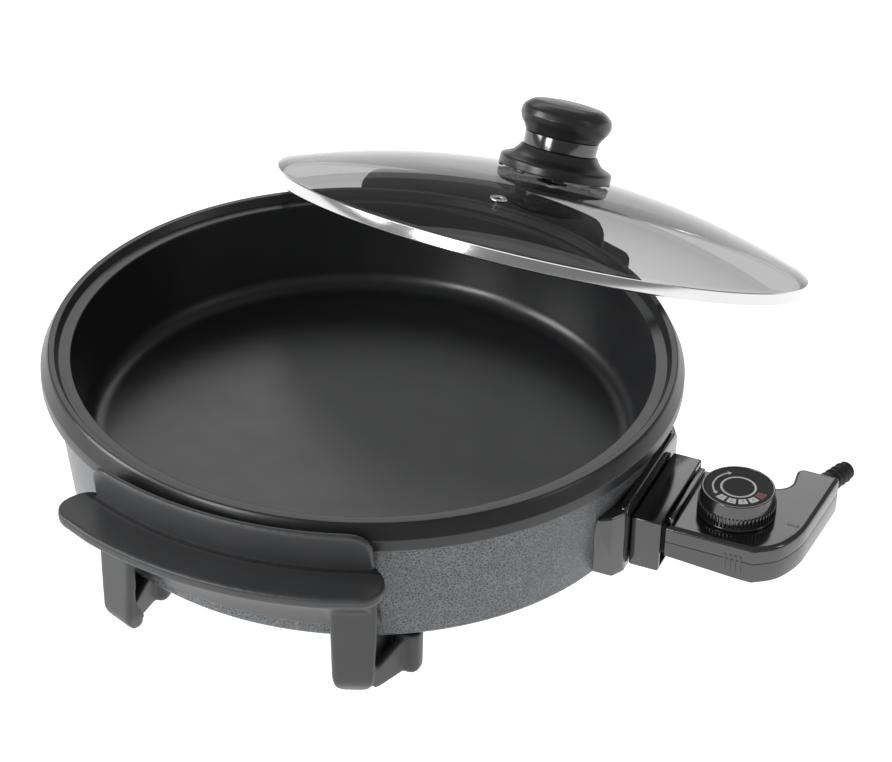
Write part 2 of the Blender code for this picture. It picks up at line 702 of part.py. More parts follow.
def make_jacket():
    """The pressed outer wall with its hammered finish, turned in below to a flat flange."""
    corner_radius = JACKET_LOW_RADIUS - JACKET_CORNER
    profile = [
        (JACKET_TOP_RADIUS, JACKET_TOP_Z),
        (JACKET_LOW_RADIUS, JACKET_LOW_Z),
        (JACKET_LOW_RADIUS - JACKET_WALL, JACKET_BOTTOM_Z + JACKET_CORNER / 2),
        (corner_radius, JACKET_BOTTOM_Z),
        (FLANGE_INNER_RADIUS, JACKET_BOTTOM_Z),
        (FLANGE_INNER_RADIUS, FLANGE_TOP_Z),
        (corner_radius - JACKET_WALL / 2, FLANGE_TOP_Z),
        (JACKET_LOW_RADIUS - 2 * JACKET_WALL, JACKET_BOTTOM_Z + JACKET_CORNER),
        (JACKET_TOP_RADIUS - JACKET_WALL, JACKET_TOP_Z),
    ]
    jacket = turned("outer_jacket", profile, HAMMERED_PAINT, PAN)
    slot = box(
        "Jacket slot",
        (BRACKET_BACK_X, -JACKET_SLOT_HALF_WIDTH, JACKET_SLOT_LOW_Z),
        (BRACKET_FRONT_X, JACKET_SLOT_HALF_WIDTH, JACKET_SLOT_TOP_Z),
        None,
        PAN,
    )
    cut(jacket, slot)
    for index, (x, y) in enumerate(base_screw_places() + handle_screw_places()):
        hole = cylinder(
            f"Flange hole {index}",
            SHANK_RADIUS + GAP,
            (x, y, JACKET_BOTTOM_Z - OVERRUN),
            (x, y, FLANGE_TOP_Z + OVERRUN),
            None,
            PAN,
            sides=SIDES_SCREW,
        )
        cut(jacket, hole)


def make_base_cover():
    """The steel plate that closes the base, dished up in the middle."""
    low = COVER_TOP_Z - COVER_THICKNESS
    dish_outer = COVER_DISH_RADIUS + COVER_DISH_SLOPE
    profile = [
        (0.0, COVER_TOP_Z + COVER_DISH),
        (COVER_DISH_RADIUS, COVER_TOP_Z + COVER_DISH),
        (dish_outer, COVER_TOP_Z),
        (COVER_RADIUS, COVER_TOP_Z),
        (COVER_RADIUS, low),
        (dish_outer + COVER_THICKNESS / 2, low),
        (COVER_DISH_RADIUS, low + COVER_DISH),
        (0.0, low + COVER_DISH),
    ]
    cover = turned("base_cover", profile, BARE_STEEL, PAN)
    for index, (x, y) in enumerate(base_screw_places()):
        hole = cylinder(
            f"Cover hole {index}",
            SHANK_RADIUS + GAP,
            (x, y, low - OVERRUN),
            (x, y, COVER_TOP_Z + OVERRUN),
            None,
            PAN,
            sides=SIDES_SCREW,
        )
        cut(cover, hole)
        screw(
            f"base_screw_{index + 1}",
            (x, y),
            low - GAP - HEAD_HEIGHT,
            BARE_STEEL,
            PAN,
        )


def tube(name, points, radius, finish, parent, round_steps=2):
    curve = bpy.data.curves.new(name, "CURVE")
    curve.dimensions = "3D"
    curve.bevel_depth = radius
    curve.bevel_resolution = round_steps
    curve.use_fill_caps = True
    line = curve.splines.new("POLY")
    line.points.add(len(points) - 1)
    for point, place in zip(line.points, points):
        point.co = (*place, 1.0)
    curve.materials.append(finish)
    made = bpy.data.objects.new(name, curve)
    made.parent = parent
    weld = made.modifiers.new("Weld", "WELD")
    weld.merge_threshold = 0.00001
    MODEL.objects.link(made)
    return made


def make_element():
    """The tubular heating element: one loop under the floor, with its cold ends at the socket."""
    half = TERMINAL_SPACING / 2
    mouth = ELEMENT_MOUTH_DEGREES
    loop = []
    for step in range(ELEMENT_STEPS + 1):
        degrees = mouth + (360.0 - 2 * mouth) * step / ELEMENT_STEPS
        loop.append((*polar(ELEMENT_LOOP, degrees), ELEMENT_Z))
    turn_x = ELEMENT_LOOP + 2 * ELEMENT_RADIUS
    half_rise_x = (ELEMENT_BEND_X + ELEMENT_RISE_X) / 2
    half_rise_z = (ELEMENT_Z + TERMINAL_Z) / 2
    out = [
        (turn_x, half, ELEMENT_Z),
        (ELEMENT_BEND_X, half, ELEMENT_Z),
        (half_rise_x, half, half_rise_z),
        (ELEMENT_RISE_X, half, TERMINAL_Z),
        (ELEMENT_END_X, half, TERMINAL_Z),
    ]
    back = [(x, -y, z) for x, y, z in out]
    tube("heating_element", [*reversed(out), *loop, *back], ELEMENT_RADIUS, BARE_STEEL, PAN)
    for name, side in (("terminal_pin_left", -1.0), ("terminal_pin_right", 1.0)):
        pin = cylinder(
            name,
            PIN_RADIUS,
            (ELEMENT_END_X + GAP, side * half, TERMINAL_Z),
            (PIN_END_X - PIN_TIP, side * half, TERMINAL_Z),
            BRASS,
            PAN,
        )
        tip = cylinder(
            f"Tip of {name}",
            PIN_RADIUS,
            (PIN_END_X - PIN_TIP - SINK, side * half, TERMINAL_Z),
            (PIN_END_X, side * half, TERMINAL_Z),
            None,
            PAN,
            tip=PIN_RADIUS - PIN_TIP,
        )
        join(pin, tip)


def make_element_clamps():
    """Saddles that hold the element up against the floor."""
    top = BOWL_UNDERSIDE_Z - GAP
    inside = ELEMENT_RADIUS + CLAMP_PLAY
    outside = inside + CLAMP_THICKNESS
    low = ELEMENT_Z - outside
    outline = [
        (-CLAMP_REACH, top),
        (-inside, top),
        (-inside, ELEMENT_Z - inside),
        (inside, ELEMENT_Z - inside),
        (inside, top),
        (CLAMP_REACH, top),
        (CLAMP_REACH, top - CLAMP_THICKNESS),
        (outside, top - CLAMP_THICKNESS),
        (outside, low),
        (-outside, low),
        (-outside, top - CLAMP_THICKNESS),
        (-CLAMP_REACH, top - CLAMP_THICKNESS),
    ]
    for index in range(CLAMP_COUNT):
        name = f"element_clamp_{index + 1}"
        points = [Vector((across, height)) for across, height in outline]
        clamp = slab(name, points, -CLAMP_WIDTH / 2, CLAMP_WIDTH / 2, BARE_STEEL, PAN)
        degrees = 90.0 * (index + 1)
        # The outline is stood up, then carried out to the loop and round to its place.
        clamp.data.transform(Matrix.Rotation(math.radians(90.0), 4, "X"))
        clamp.data.transform(Matrix.Translation((ELEMENT_LOOP, 0.0, 0.0)))
        clamp.rotation_euler = (0.0, 0.0, math.radians(degrees))


def make_sensor_guide():
    """A short tube under the floor that the thermostat's probe slides into."""
    length = GUIDE_END_X - GUIDE_START_X
    bore = PROBE_RADIUS + GAP
    profile = [
        (GUIDE_RADIUS, length),
        (GUIDE_RADIUS, 0.0),
        (bore, 0.0),
        (bore, length),
    ]
    guide = turned("sensor_guide", profile, BRASS, PAN, SIDES_SMALL)
    guide.location = (GUIDE_START_X, 0.0, SENSOR_Z)
    guide.rotation_euler = (0.0, math.radians(90.0), 0.0)


def make_socket():
    """The glossy bracket on the pan's side and the box that shields the terminal pins."""
    wing = BRACKET_CHAMFER
    front_half = BRACKET_FRONT_HALF
    corners = [
        (BRACKET_BACK_X, -BRACKET_HALF_WIDTH, 0.0),
        (BRACKET_WING_X, -BRACKET_HALF_WIDTH, 0.0),
        (BRACKET_WING_X + wing, -BRACKET_HALF_WIDTH + wing, wing),
        (BRACKET_FRONT_X, -front_half, wing),
        (BRACKET_FRONT_X, front_half, wing),
        (BRACKET_WING_X + wing, BRACKET_HALF_WIDTH - wing, wing),
        (BRACKET_WING_X, BRACKET_HALF_WIDTH, 0.0),
        (BRACKET_BACK_X, BRACKET_HALF_WIDTH, 0.0),
    ]
    outline = rounded_outline(corners)
    bracket = slab(
        "socket_bracket",
        outline,
        BRACKET_LOW_Z,
        BRACKET_TOP_Z,
        BLACK_GLOSS,
        PAN,
        bevel=EDGE_SOFTNESS,
    )
    ridge_corners = [
        (-RIDGE_HALF_WIDTH, BRACKET_LOW_Z + SINK, 0.0),
        (RIDGE_HALF_WIDTH, BRACKET_LOW_Z + SINK, 0.0),
        (RIDGE_HALF_WIDTH, RIDGE_TOP_Z, RIDGE_CORNER),
        (-RIDGE_HALF_WIDTH, RIDGE_TOP_Z, RIDGE_CORNER),
    ]
    ridge = slab(
        "Ridge",
        rounded_outline(ridge_corners),
        BRACKET_FRONT_X - RIDGE_THICKNESS,
        BRACKET_FRONT_X + GAP / 2,
        None,
        PAN,
    )
    # The ridge's outline is drawn across the pan, so its prism is turned to point along X.
    ridge.data.transform(
        Matrix(((0.0, 0.0, 1.0, 0.0), (1.0, 0.0, 0.0, 0.0), (0.0, 1.0, 0.0, 0.0), (0.0, 0.0, 0.0, 1.0)))
    )
    seat = turned(
        "Bracket seat",
        [
            (0.0, JACKET_TOP_Z),
            (jacket_radius(JACKET_TOP_Z) + GAP, JACKET_TOP_Z),
            (jacket_radius(JACKET_BOTTOM_Z - OVERRUN) + GAP, JACKET_BOTTOM_Z - OVERRUN),
            (0.0, JACKET_BOTTOM_Z - OVERRUN),
        ],
        None,
        PAN,
    )
    window = box(
        "Bracket window",
        (BRACKET_BACK_X - OVERRUN, -SOCKET_HALF_WIDTH, SOCKET_LOW_Z),
        (BRACKET_FRONT_X + OVERRUN, SOCKET_HALF_WIDTH, SOCKET_TOP_Z),
        None,
        PAN,
    )
    join(bracket, ridge)
    cut(bracket, seat, window)

    shroud = box(
        "socket_shroud",
        (SHROUD_START_X + GAP, -SHROUD_HALF_WIDTH, SHROUD_LOW_Z),
        (SHROUD_END_X, SHROUD_HALF_WIDTH, SHROUD_TOP_Z),
        BLACK_GLOSS,
        PAN,
        bevel=SHROUD_CHAMFER,
    )
    bore = box(
        "Shroud bore",
        (
            SHROUD_START_X - OVERRUN,
            -SHROUD_HALF_WIDTH + SHROUD_WALL,
            SHROUD_LOW_Z + SHROUD_WALL,
        ),
        (
            SHROUD_END_X + OVERRUN,
            SHROUD_HALF_WIDTH - SHROUD_WALL,
            SHROUD_TOP_Z - SHROUD_WALL,
        ),
        None,
        PAN,
    )
    cut(shroud, bore)

    floor_z = SHROUD_LOW_Z + SHROUD_WALL + GAP
    earth = box(
        "earth_contact",
        (SHROUD_START_X + SINK, -EARTH_WIDTH / 2, floor_z),
        (SHROUD_END_X - SINK, EARTH_WIDTH / 2, floor_z + EARTH_THICKNESS),
        BRASS,
        PAN,
    )
    hook = box(
        "Earth hook",
        (SHROUD_START_X + SINK, -EARTH_WIDTH / 2, floor_z),
        (SHROUD_START_X + SINK + EARTH_THICKNESS, EARTH_WIDTH / 2, floor_z + EARTH_RISE),
        None,
        PAN,
    )
    join(earth, hook)


def apron_profile(inset):
    """The apron below the ledge, in section, drawn in from its outer face by inset."""
    points = []
    for step in range(APRON_STEPS + 1):
        share = step / APRON_STEPS
        radius = APRON_LIP_RADIUS + share * (APRON_LOW_RADIUS - APRON_LIP_RADIUS)
        height = LEDGE_LOW_Z + share * (APRON_LOW_Z - LEDGE_LOW_Z)
        sag = APRON_SAG * math.sin(math.pi * share)
        points.append((radius - sag - inset, height + sag))
    return points


def make_handle(name, turn_degrees):
    """One moulding: an upright plate behind the collar, a grip ledge, an apron and two legs."""
    frame = empty(f"Frame of {name}", PAN)
    half = HANDLE_LEDGE_HALF_DEGREES
    corner = HANDLE_LEDGE_CORNER
    outer_arc = [
        (*polar(HANDLE_LEDGE_RADIUS, degrees), 0.0)
        for degrees in np.linspace(-90.0 - half + 6.0, -90.0 + half - 6.0, 13)
    ]
    inner_arc = [
        (*polar(HANDLE_LEDGE_INNER_RADIUS, degrees), 0.0)
        for degrees in np.linspace(-90.0 + half - 4.5, -90.0 - half + 4.5, 13)
    ]
    corners = [
        (*polar(HANDLE_LEDGE_RADIUS, -90.0 - half), corner),
        *outer_arc,
        (*polar(HANDLE_LEDGE_RADIUS, -90.0 + half), corner),
        (*polar(HANDLE_LEDGE_INNER_RADIUS, -90.0 + half), HANDLE_LEDGE_INNER_CORNER),
        *inner_arc,
        (*polar(HANDLE_LEDGE_INNER_RADIUS, -90.0 - half), HANDLE_LEDGE_INNER_CORNER),
    ]
    handle = slab(
        name,
        rounded_outline(corners),
        LEDGE_LOW_Z,
        HANDLE_LEDGE_TOP_Z,
        BLACK_MOULDING,
        frame,
        bevel=HANDLE_EDGE_BEVEL,
    )

    plate_back = PLATE_FOOT_RADIUS - PLATE_THICKNESS
    plate = turned(
        f"Plate of {name}",
        [
            (PLATE_TOP_RADIUS - EDGE_SOFTNESS, PLATE_TOP_Z),
            (PLATE_TOP_RADIUS, PLATE_TOP_Z - EDGE_SOFTNESS),
            (PLATE_FOOT_RADIUS, HANDLE_LEDGE_TOP_Z - SINK),
            (PLATE_FOOT_RADIUS, LEDGE_LOW_Z + SINK),
            (plate_back, LEDGE_LOW_Z + SINK),
            (plate_back, HANDLE_LEDGE_TOP_Z),
            (PLATE_TOP_RADIUS - PLATE_THICKNESS, PLATE_TOP_Z - EDGE_SOFTNESS),
            (PLATE_TOP_RADIUS - PLATE_THICKNESS + EDGE_SOFTNESS, PLATE_TOP_Z),
        ],
        None,
        frame,
        SIDES_ARC,
    )
    plate_window = slab(
        f"Plate window of {name}",
        rounded_outline(
            [
                (-PLATE_HALF_WIDTH, -PLATE_TOP_Z - EDGE_SOFTNESS, PLATE_CORNER),
                (PLATE_HALF_WIDTH, -PLATE_TOP_Z - EDGE_SOFTNESS, PLATE_CORNER),
                (PLATE_HALF_WIDTH, -LEDGE_LOW_Z + OVERRUN, 0.0),
                (-PLATE_HALF_WIDTH, -LEDGE_LOW_Z + OVERRUN, 0.0),
            ]
        ),
        -HANDLE_LEDGE_RADIUS,
        -BOWL_BOTTOM_RADIUS / 2,
        None,
        frame,
    )
    # The window is drawn in elevation, so its prism is laid along Y.
    stand = Matrix(
        ((1.0, 0.0, 0.0, 0.0), (0.0, 0.0, 1.0, 0.0), (0.0, -1.0, 0.0, 0.0), (0.0, 0.0, 0.0, 1.0))
    )
    plate_window.data.transform(stand)
    boolean(plate, plate_window, "INTERSECT")

    apron = turned(
        f"Apron of {name}",
        [
            (APRON_LIP_RADIUS, LEDGE_LOW_Z + HANDLE_LEDGE_THICKNESS / 2),
            *apron_profile(0.0),
            (APRON_BACK_RADIUS, APRON_LOW_Z),
            (APRON_BACK_TOP_RADIUS, LEDGE_LOW_Z),
            (PLATE_BACK_RADIUS + SINK, LEDGE_LOW_Z + HANDLE_LEDGE_THICKNESS / 2),
        ],
        None,
        frame,
        SIDES_ARC,
    )
    apron_window = box(
        f"Apron window of {name}",
        (-APRON_HALF_WIDTH, -HANDLE_LEDGE_RADIUS, APRON_LOW_Z - OVERRUN),
        (APRON_HALF_WIDTH, -BOWL_BOTTOM_RADIUS / 2, HANDLE_LEDGE_TOP_Z),
        None,
        frame,
    )
    boolean(apron, apron_window, "INTERSECT")
    hollow_face = apron_profile(APRON_WALL)
    hollow_top = LEDGE_LOW_Z - SINK
    hollow = turned(
        f"Apron hollow of {name}",
        [
            (hollow_face[0][0] - SINK, hollow_top),
            *hollow_face[1:-2],
            (APRON_BACK_RADIUS - OVERRUN, hollow_face[-3][1]),
            (APRON_BACK_RADIUS - OVERRUN, hollow_top),
        ],
        None,
        frame,
        SIDES_ARC,
    )
    hollow_window = box(
        f"Hollow window of {name}",
        (-APRON_HALF_WIDTH + LEG_WIDTH, -HANDLE_LEDGE_RADIUS, APRON_LOW_Z - OVERRUN),
        (APRON_HALF_WIDTH - LEG_WIDTH, -BOWL_BOTTOM_RADIUS / 2, HANDLE_LEDGE_TOP_Z),
        None,
        frame,
    )
    boolean(hollow, hollow_window, "INTERSECT")
    join(handle, plate, apron)

    lean_x = math.sin(math.radians(LEG_DEGREES))
    lean_y = math.cos(math.radians(LEG_DEGREES))
    for side in (-1.0, 1.0):
        leg = slab(
            f"Leg of {name} {side:+.0f}",
            rounded_outline(
                [
                    (-LEG_WIDTH / 2, -LEG_FACE_RADIUS, LEG_ROUND),
                    (LEG_WIDTH / 2, -LEG_FACE_RADIUS, LEG_ROUND),
                    (LEG_WIDTH / 2, -LEG_FACE_RADIUS + LEG_THICKNESS, 0.0),
                    (-LEG_WIDTH / 2, -LEG_FACE_RADIUS + LEG_THICKNESS, 0.0),
                ]
            ),
            -OVERRUN,
            LEDGE_LOW_Z + SINK,
            None,
            frame,
        )
        leg.data.transform(Matrix.Rotation(math.radians(side * LEG_DEGREES), 4, "Z"))
        join(handle, leg)
        for foot_x in (FOOT_INNER_X, FOOT_OUTER_X):
            label = f"{side:+.0f} {foot_x:.4f}"
            low_x = side * foot_x - FOOT_WIDTH / 2
            high_x = side * foot_x + FOOT_WIDTH / 2
            low_y = -FOOT_Y - FOOT_DEPTH / 2
            high_y = -FOOT_Y + FOOT_DEPTH / 2
            foot = slab(
                f"Foot of {name} {label}",
                rounded_outline(
                    [
                        (low_x, low_y, FOOT_ROUND),
                        (high_x, low_y, FOOT_ROUND),
                        (high_x, high_y, FOOT_ROUND),
                        (low_x, high_y, FOOT_ROUND),
                    ]
                ),
                -OVERRUN + SINK,
                FOOT_TOP_Z,
                None,
                frame,
            )
            root = foot_x - (foot_x - FOOT_INNER_X) / 3
            root_x = side * root
            reach_y = (root * lean_x - LEG_FACE_RADIUS + LEG_THICKNESS / 2) / lean_y
            gusset = slab(
                f"Gusset of {name} {label}",
                [
                    Vector((root_x - GUSSET_THICKNESS / 2, reach_y)),
                    Vector((root_x + GUSSET_THICKNESS / 2, reach_y)),
                    Vector((side * foot_x + GUSSET_THICKNESS / 2, -FOOT_Y)),
                    Vector((side * foot_x - GUSSET_THICKNESS / 2, -FOOT_Y)),
                ],
                -OVERRUN + 2 * SINK,
                lambda p: GUSSET_BACK_HEIGHT if p.y > -FOOT_Y - SINK else GUSSET_HEIGHT,
                None,
                frame,
            )
            join(handle, foot, gusset)
        x, y = side * FOOT_INNER_X, -FOOT_Y
        well = cylinder(
            f"Screw well of {name} {side:+.0f}",
            SCREW_WELL_RADIUS,
            (x, y, -2 * OVERRUN),
            (x, y, SCREW_WELL_DEPTH),
            None,
            frame,
        )
        hole = cylinder(
            f"Screw hole of {name} {side:+.0f}",
            SHANK_RADIUS + GAP,
            (x, y, SCREW_WELL_DEPTH - SINK),
            (x, y, FOOT_TOP_Z + OVERRUN),
            None,
            frame,
            sides=SIDES_SCREW,
        )
        cut(handle, well, hole)
    ground = box(
        f"Ground under {name}",
        (-HANDLE_LEDGE_RADIUS, -HANDLE_LEDGE_RADIUS, -2 * OVERRUN),
        (HANDLE_LEDGE_RADIUS, 0.0, 0.0),
        None,
        frame,
    )
    cut(handle, hollow, ground)
    frame.rotation_euler = (0.0, 0.0, math.radians(turn_degrees))


def make_handles():
    make_handle("handle_near", 0.0)
    make_handle("handle_far", 180.0)
    low = SCREW_WELL_DEPTH - GAP - HEAD_HEIGHT
    reach = FLANGE_TOP_Z + SCREW_REACH - SCREW_WELL_DEPTH
    for index, place in enumerate(handle_screw_places()):
        screw(f"handle_screw_{index + 1}", place, low, BARE_STEEL, PAN, reach=reach)


def case_outline():
    """The thermostat's plan: a broad head that sweeps round into an arm along +Y."""
    half = CASE_HALF_WIDTH
    corners = [
        (CASE_FRONT_X, -half, 0.0),
        (CASE_BEND_X, -half, CASE_CORNER),
        (CASE_BEND_X + HEEL_RUN, -half + HEEL_RISE, HEEL_RADIUS),
        (ARM_BULGE_X, -half / 6, HEEL_RADIUS),
        (ARM_OUTER_X, ARM_END_Y, ARM_CORNER),
        (ARM_INNER_X, ARM_END_Y, ARM_CORNER),
        (ARM_INNER_X, half, ELBOW_RADIUS),
        (CASE_FRONT_X, half, 0.0),
    ]
    return rounded_outline(corners)


def case_floor(point):
    """The height of the case's underside, which drops from the socket to the bend."""
    share = (point.x - CASE_FRONT_X) / (CASE_BEND_X - CASE_FRONT_X)
    return CASE_FRONT_LOW_Z + min(share, 1.0) * (CASE_LOW_Z - CASE_FRONT_LOW_Z)


def case_wedge(name, lift):
    """The slanted cut under the front of the case, raised by lift."""
    slope = (CASE_FRONT_LOW_Z - CASE_LOW_Z) / (CASE_BEND_X - CASE_FRONT_X)
    front, back = CASE_FRONT_X - OVERRUN, CASE_BEND_X + OVERRUN
    side = CASE_HALF_WIDTH + OVERRUN
    return slab(
        name,
        [Vector(p) for p in ((front, -side), (back, -side), (back, side), (front, side))],
        CASE_LOW_Z - 2 * OVERRUN,
        lambda p: CASE_LOW_Z + lift + slope * (CASE_BEND_X - p.x),
        None,
        PLUG,
    )


def make_case():
    """The thermostat's two shells, split at mid height."""
    outline = case_outline()
    inside = inset_outline(outline, CASE_WALL)
    upper = slab(
        "thermostat_upper_case",
        outline,
        CASE_PART_Z + GAP / 2,
        CASE_TOP_Z,
        BLACK_GLOSS,
        PLUG,
        bevel=CASE_EDGE,
    )
    upper_hollow = slab(
        "Upper hollow", inside, CASE_PART_Z - OVERRUN, CASE_TOP_Z - CASE_WALL, None, PLUG
    )
    lower = slab(
        "thermostat_lower_case",
        outline,
        CASE_LOW_Z,
        CASE_PART_Z - GAP / 2,
        BLACK_GLOSS,
        PLUG,
    )
    lower_hollow = slab(
        "Lower hollow",
        inside,
        CASE_LOW_Z + CASE_WALL,
        CASE_PART_Z + OVERRUN,
        None,
        PLUG,
    )
    cut(lower_hollow, case_wedge("Inner wedge", CASE_WALL))
    lip = box(
        "Lip",
        (CASE_FRONT_X, -LIP_HALF_WIDTH, CASE_TOP_Z - SINK),
        (CASE_FRONT_X + LIP_THICKNESS, LIP_HALF_WIDTH, LIP_TOP_Z),
        None,
        PLUG,
        bevel=EDGE_SOFTNESS / 2,
    )
    mouth = box(
        "Case mouth",
        (CASE_FRONT_X - OVERRUN, -CARRIER_HALF_WIDTH - GAP, CARRIER_LOW_Z - GAP),
        (
            CASE_FRONT_X + CASE_WALL + SINK,
            CARRIER_HALF_WIDTH + GAP,
            CARRIER_TOP_Z + GAP,
        ),
        None,
        PLUG,
    )
    spindle_hole = cylinder(
        "Spindle hole",
        SPINDLE_RADIUS + GAP,
        (DIAL_X, 0.0, CASE_PART_Z),
        (DIAL_X, 0.0, LIP_TOP_Z),
        None,
        PLUG,
    )
    lens_pocket = box(
        "Lens pocket",
        (
            LENS_X - LENS_LENGTH / 2 - GAP,
            -LENS_WIDTH / 2 - GAP,
            CASE_TOP_Z - LENS_DEPTH - GAP,
        ),
        (LENS_X + LENS_LENGTH / 2 + GAP, LENS_WIDTH / 2 + GAP, CASE_TOP_Z + OVERRUN),
        None,
        PLUG,
    )
    boot_hole = cylinder(
        "Boot hole",
        BOOT_NECK_RADIUS + GAP,
        (BOOT_X, ARM_END_Y - BOOT_NECK_LENGTH, BOOT_Z),
        (BOOT_X, ARM_END_Y + OVERRUN, BOOT_Z),
        None,
        PLUG,
    )
    cut(upper, upper_hollow)
    cut(lower, lower_hollow, case_wedge("Outer wedge", 0.0))
    join(upper, lip)
    for index, (x, y) in enumerate(CASE_SCREW_PLACES):
        boss = cylinder(
            f"Case boss {index}",
            CASE_BOSS_RADIUS,
            (x, y, CASE_PART_Z + GAP),
            (x, y, CASE_TOP_Z - CASE_WALL + SINK),
            None,
            PLUG,
            sides=SIDES_SCREW,
        )
        post = cylinder(
            f"Case post {index}",
            CASE_BOSS_RADIUS,
            (x, y, case_floor(Vector((x, y))) + SINK),
            (x, y, CASE_PART_Z - GAP),
            None,
            PLUG,
            sides=SIDES_SCREW,
        )
        head_z = case_floor(Vector((x, y))) + CASE_HEAD_HEIGHT + GAP
        shank_hole = cylinder(
            f"Case shank hole {index}",
            CASE_SCREW_SHANK + GAP,
            (x, y, CASE_LOW_Z - OVERRUN),
            (x, y, head_z + CASE_SCREW_REACH + SINK),
            None,
            PLUG,
            sides=SIDES_SCREW,
        )
        head_hole = cylinder(
            f"Case head hole {index}",
            CASE_SCREW_HEAD + GAP,
            (x, y, CASE_LOW_Z - OVERRUN),
            (x, y, head_z + GAP),
            None,
            PLUG,
            sides=SIDES_SCREW,
        )
        join(upper, boss)
        join(lower, post)
        cut(upper, shank_hole)
        cut(lower, shank_hole, head_hole)
        screw(
            f"case_screw_{index + 1}",
            (x, y),
            head_z - CASE_HEAD_HEIGHT,
            BARE_STEEL,
            PLUG,
            head=CASE_SCREW_HEAD,
            shank=CASE_SCREW_SHANK,
            head_height=CASE_HEAD_HEIGHT,
            reach=CASE_SCREW_REACH,
        )
    cut(upper, mouth, spindle_hole, lens_pocket, boot_hole)
    cut(lower, mouth, boot_hole)
    box(
        "pilot_lens",
        (LENS_X - LENS_LENGTH / 2, -LENS_WIDTH / 2, CASE_TOP_Z - LENS_DEPTH),
        (LENS_X + LENS_LENGTH / 2, LENS_WIDTH / 2, CASE_TOP_Z + GAP),
        CLEAR_LENS,
        PLUG,
    )


def make_contacts():
    """The heat-proof carrier with its two sleeves for the pins, and the sensor probe."""
    carrier = box(
        "contact_carrier",
        (NOSE_START_X, -NOSE_HALF_WIDTH, NOSE_LOW_Z),
        (CASE_FRONT_X - GAP, NOSE_HALF_WIDTH, NOSE_TOP_Z),
        HEATPROOF_MOULDING,
        PLUG,
        bevel=NOSE_EDGE,
    )
    tail = box(
        "Carrier tail",
        (CASE_FRONT_X - OVERRUN, -CARRIER_HALF_WIDTH, CARRIER_LOW_Z),
        (CARRIER_END_X, CARRIER_HALF_WIDTH, CARRIER_TOP_Z),
        None,
        PLUG,
    )
    join(carrier, tail)
    for name, side in (("contact_sleeve_left", -1.0), ("contact_sleeve_right", 1.0)):
        y = side * TERMINAL_SPACING / 2
        bore = cylinder(
            f"Bore for {name}",
            SLEEVE_RADIUS + GAP,
            (NOSE_START_X - OVERRUN, y, TERMINAL_Z),
            (CARRIER_END_X + OVERRUN, y, TERMINAL_Z),
            None,
            PLUG,
        )
        cut(carrier, bore)
        length = SLEEVE_END_X - NOSE_START_X - SLEEVE_SETBACK
        inner = PIN_RADIUS + GAP
        profile = [
            (SLEEVE_RADIUS, length),
            (SLEEVE_RADIUS, 0.0),
            (inner, 0.0),
            (inner, length),
        ]
        sleeve = turned(name, profile, BRASS, PLUG, SIDES_SMALL)
        sleeve.location = (NOSE_START_X + SLEEVE_SETBACK, y, TERMINAL_Z)
        sleeve.rotation_euler = (0.0, math.radians(90.0), 0.0)
    probe_bore = cylinder(
        "Probe bore",
        PROBE_RADIUS + GAP,
        (NOSE_START_X - OVERRUN, 0.0, SENSOR_Z),
        (PROBE_END_X + GAP, 0.0, SENSOR_Z),
        None,
        PLUG,
    )
    cut(carrier, probe_bore)
    probe = cylinder(
        "sensor_probe",
        PROBE_RADIUS,
        (PROBE_TIP_X + PROBE_RADIUS, 0.0, SENSOR_Z),
        (PROBE_END_X, 0.0, SENSOR_Z),
        BARE_STEEL,
        PLUG,
    )
    nose = cylinder(
        "Probe nose",
        PROBE_RADIUS / 2,
        (PROBE_TIP_X, 0.0, SENSOR_Z),
        (PROBE_TIP_X + PROBE_RADIUS + GAP, 0.0, SENSOR_Z),
        None,
        PLUG,
        tip=PROBE_RADIUS,
    )
    join(probe, nose)


def make_switch():
    """The switch block under the dial, its spring blade and the cord clamp in the arm."""
    start_x = DIAL_X - SWITCH_LENGTH / 2
    floor_z = case_floor(Vector((start_x, 0.0))) + CASE_WALL + GAP
    top_z = floor_z + SWITCH_HEIGHT
    box(
        "switch_block",
        (start_x, -SWITCH_WIDTH / 2, floor_z),
        (start_x + SWITCH_LENGTH, SWITCH_WIDTH / 2, top_z),
        HEATPROOF_MOULDING,
        PLUG,
        bevel=EDGE_SOFTNESS,
    )
    box(
        "switch_blade",
        (CARRIER_END_X + GAP, -BLADE_WIDTH / 2, top_z + GAP),
        (start_x + SWITCH_LENGTH, BLADE_WIDTH / 2, top_z + GAP + BLADE_THICKNESS),
        BRASS,
        PLUG,
    )
    clamp_y = ARM_END_Y - CLAMP_BAR_SETBACK
    low = CASE_LOW_Z + CASE_WALL + GAP
    box(
        "cord_clamp",
        (BOOT_X - CLAMP_BAR_LENGTH / 2, clamp_y - CLAMP_BAR_WIDTH, low),
        (BOOT_X + CLAMP_BAR_LENGTH / 2, clamp_y, low + CLAMP_BAR_HEIGHT),
        BARE_STEEL,
        PLUG,
        bevel=EDGE_SOFTNESS / 2,
    )
    return top_z + 2 * GAP + BLADE_THICKNESS


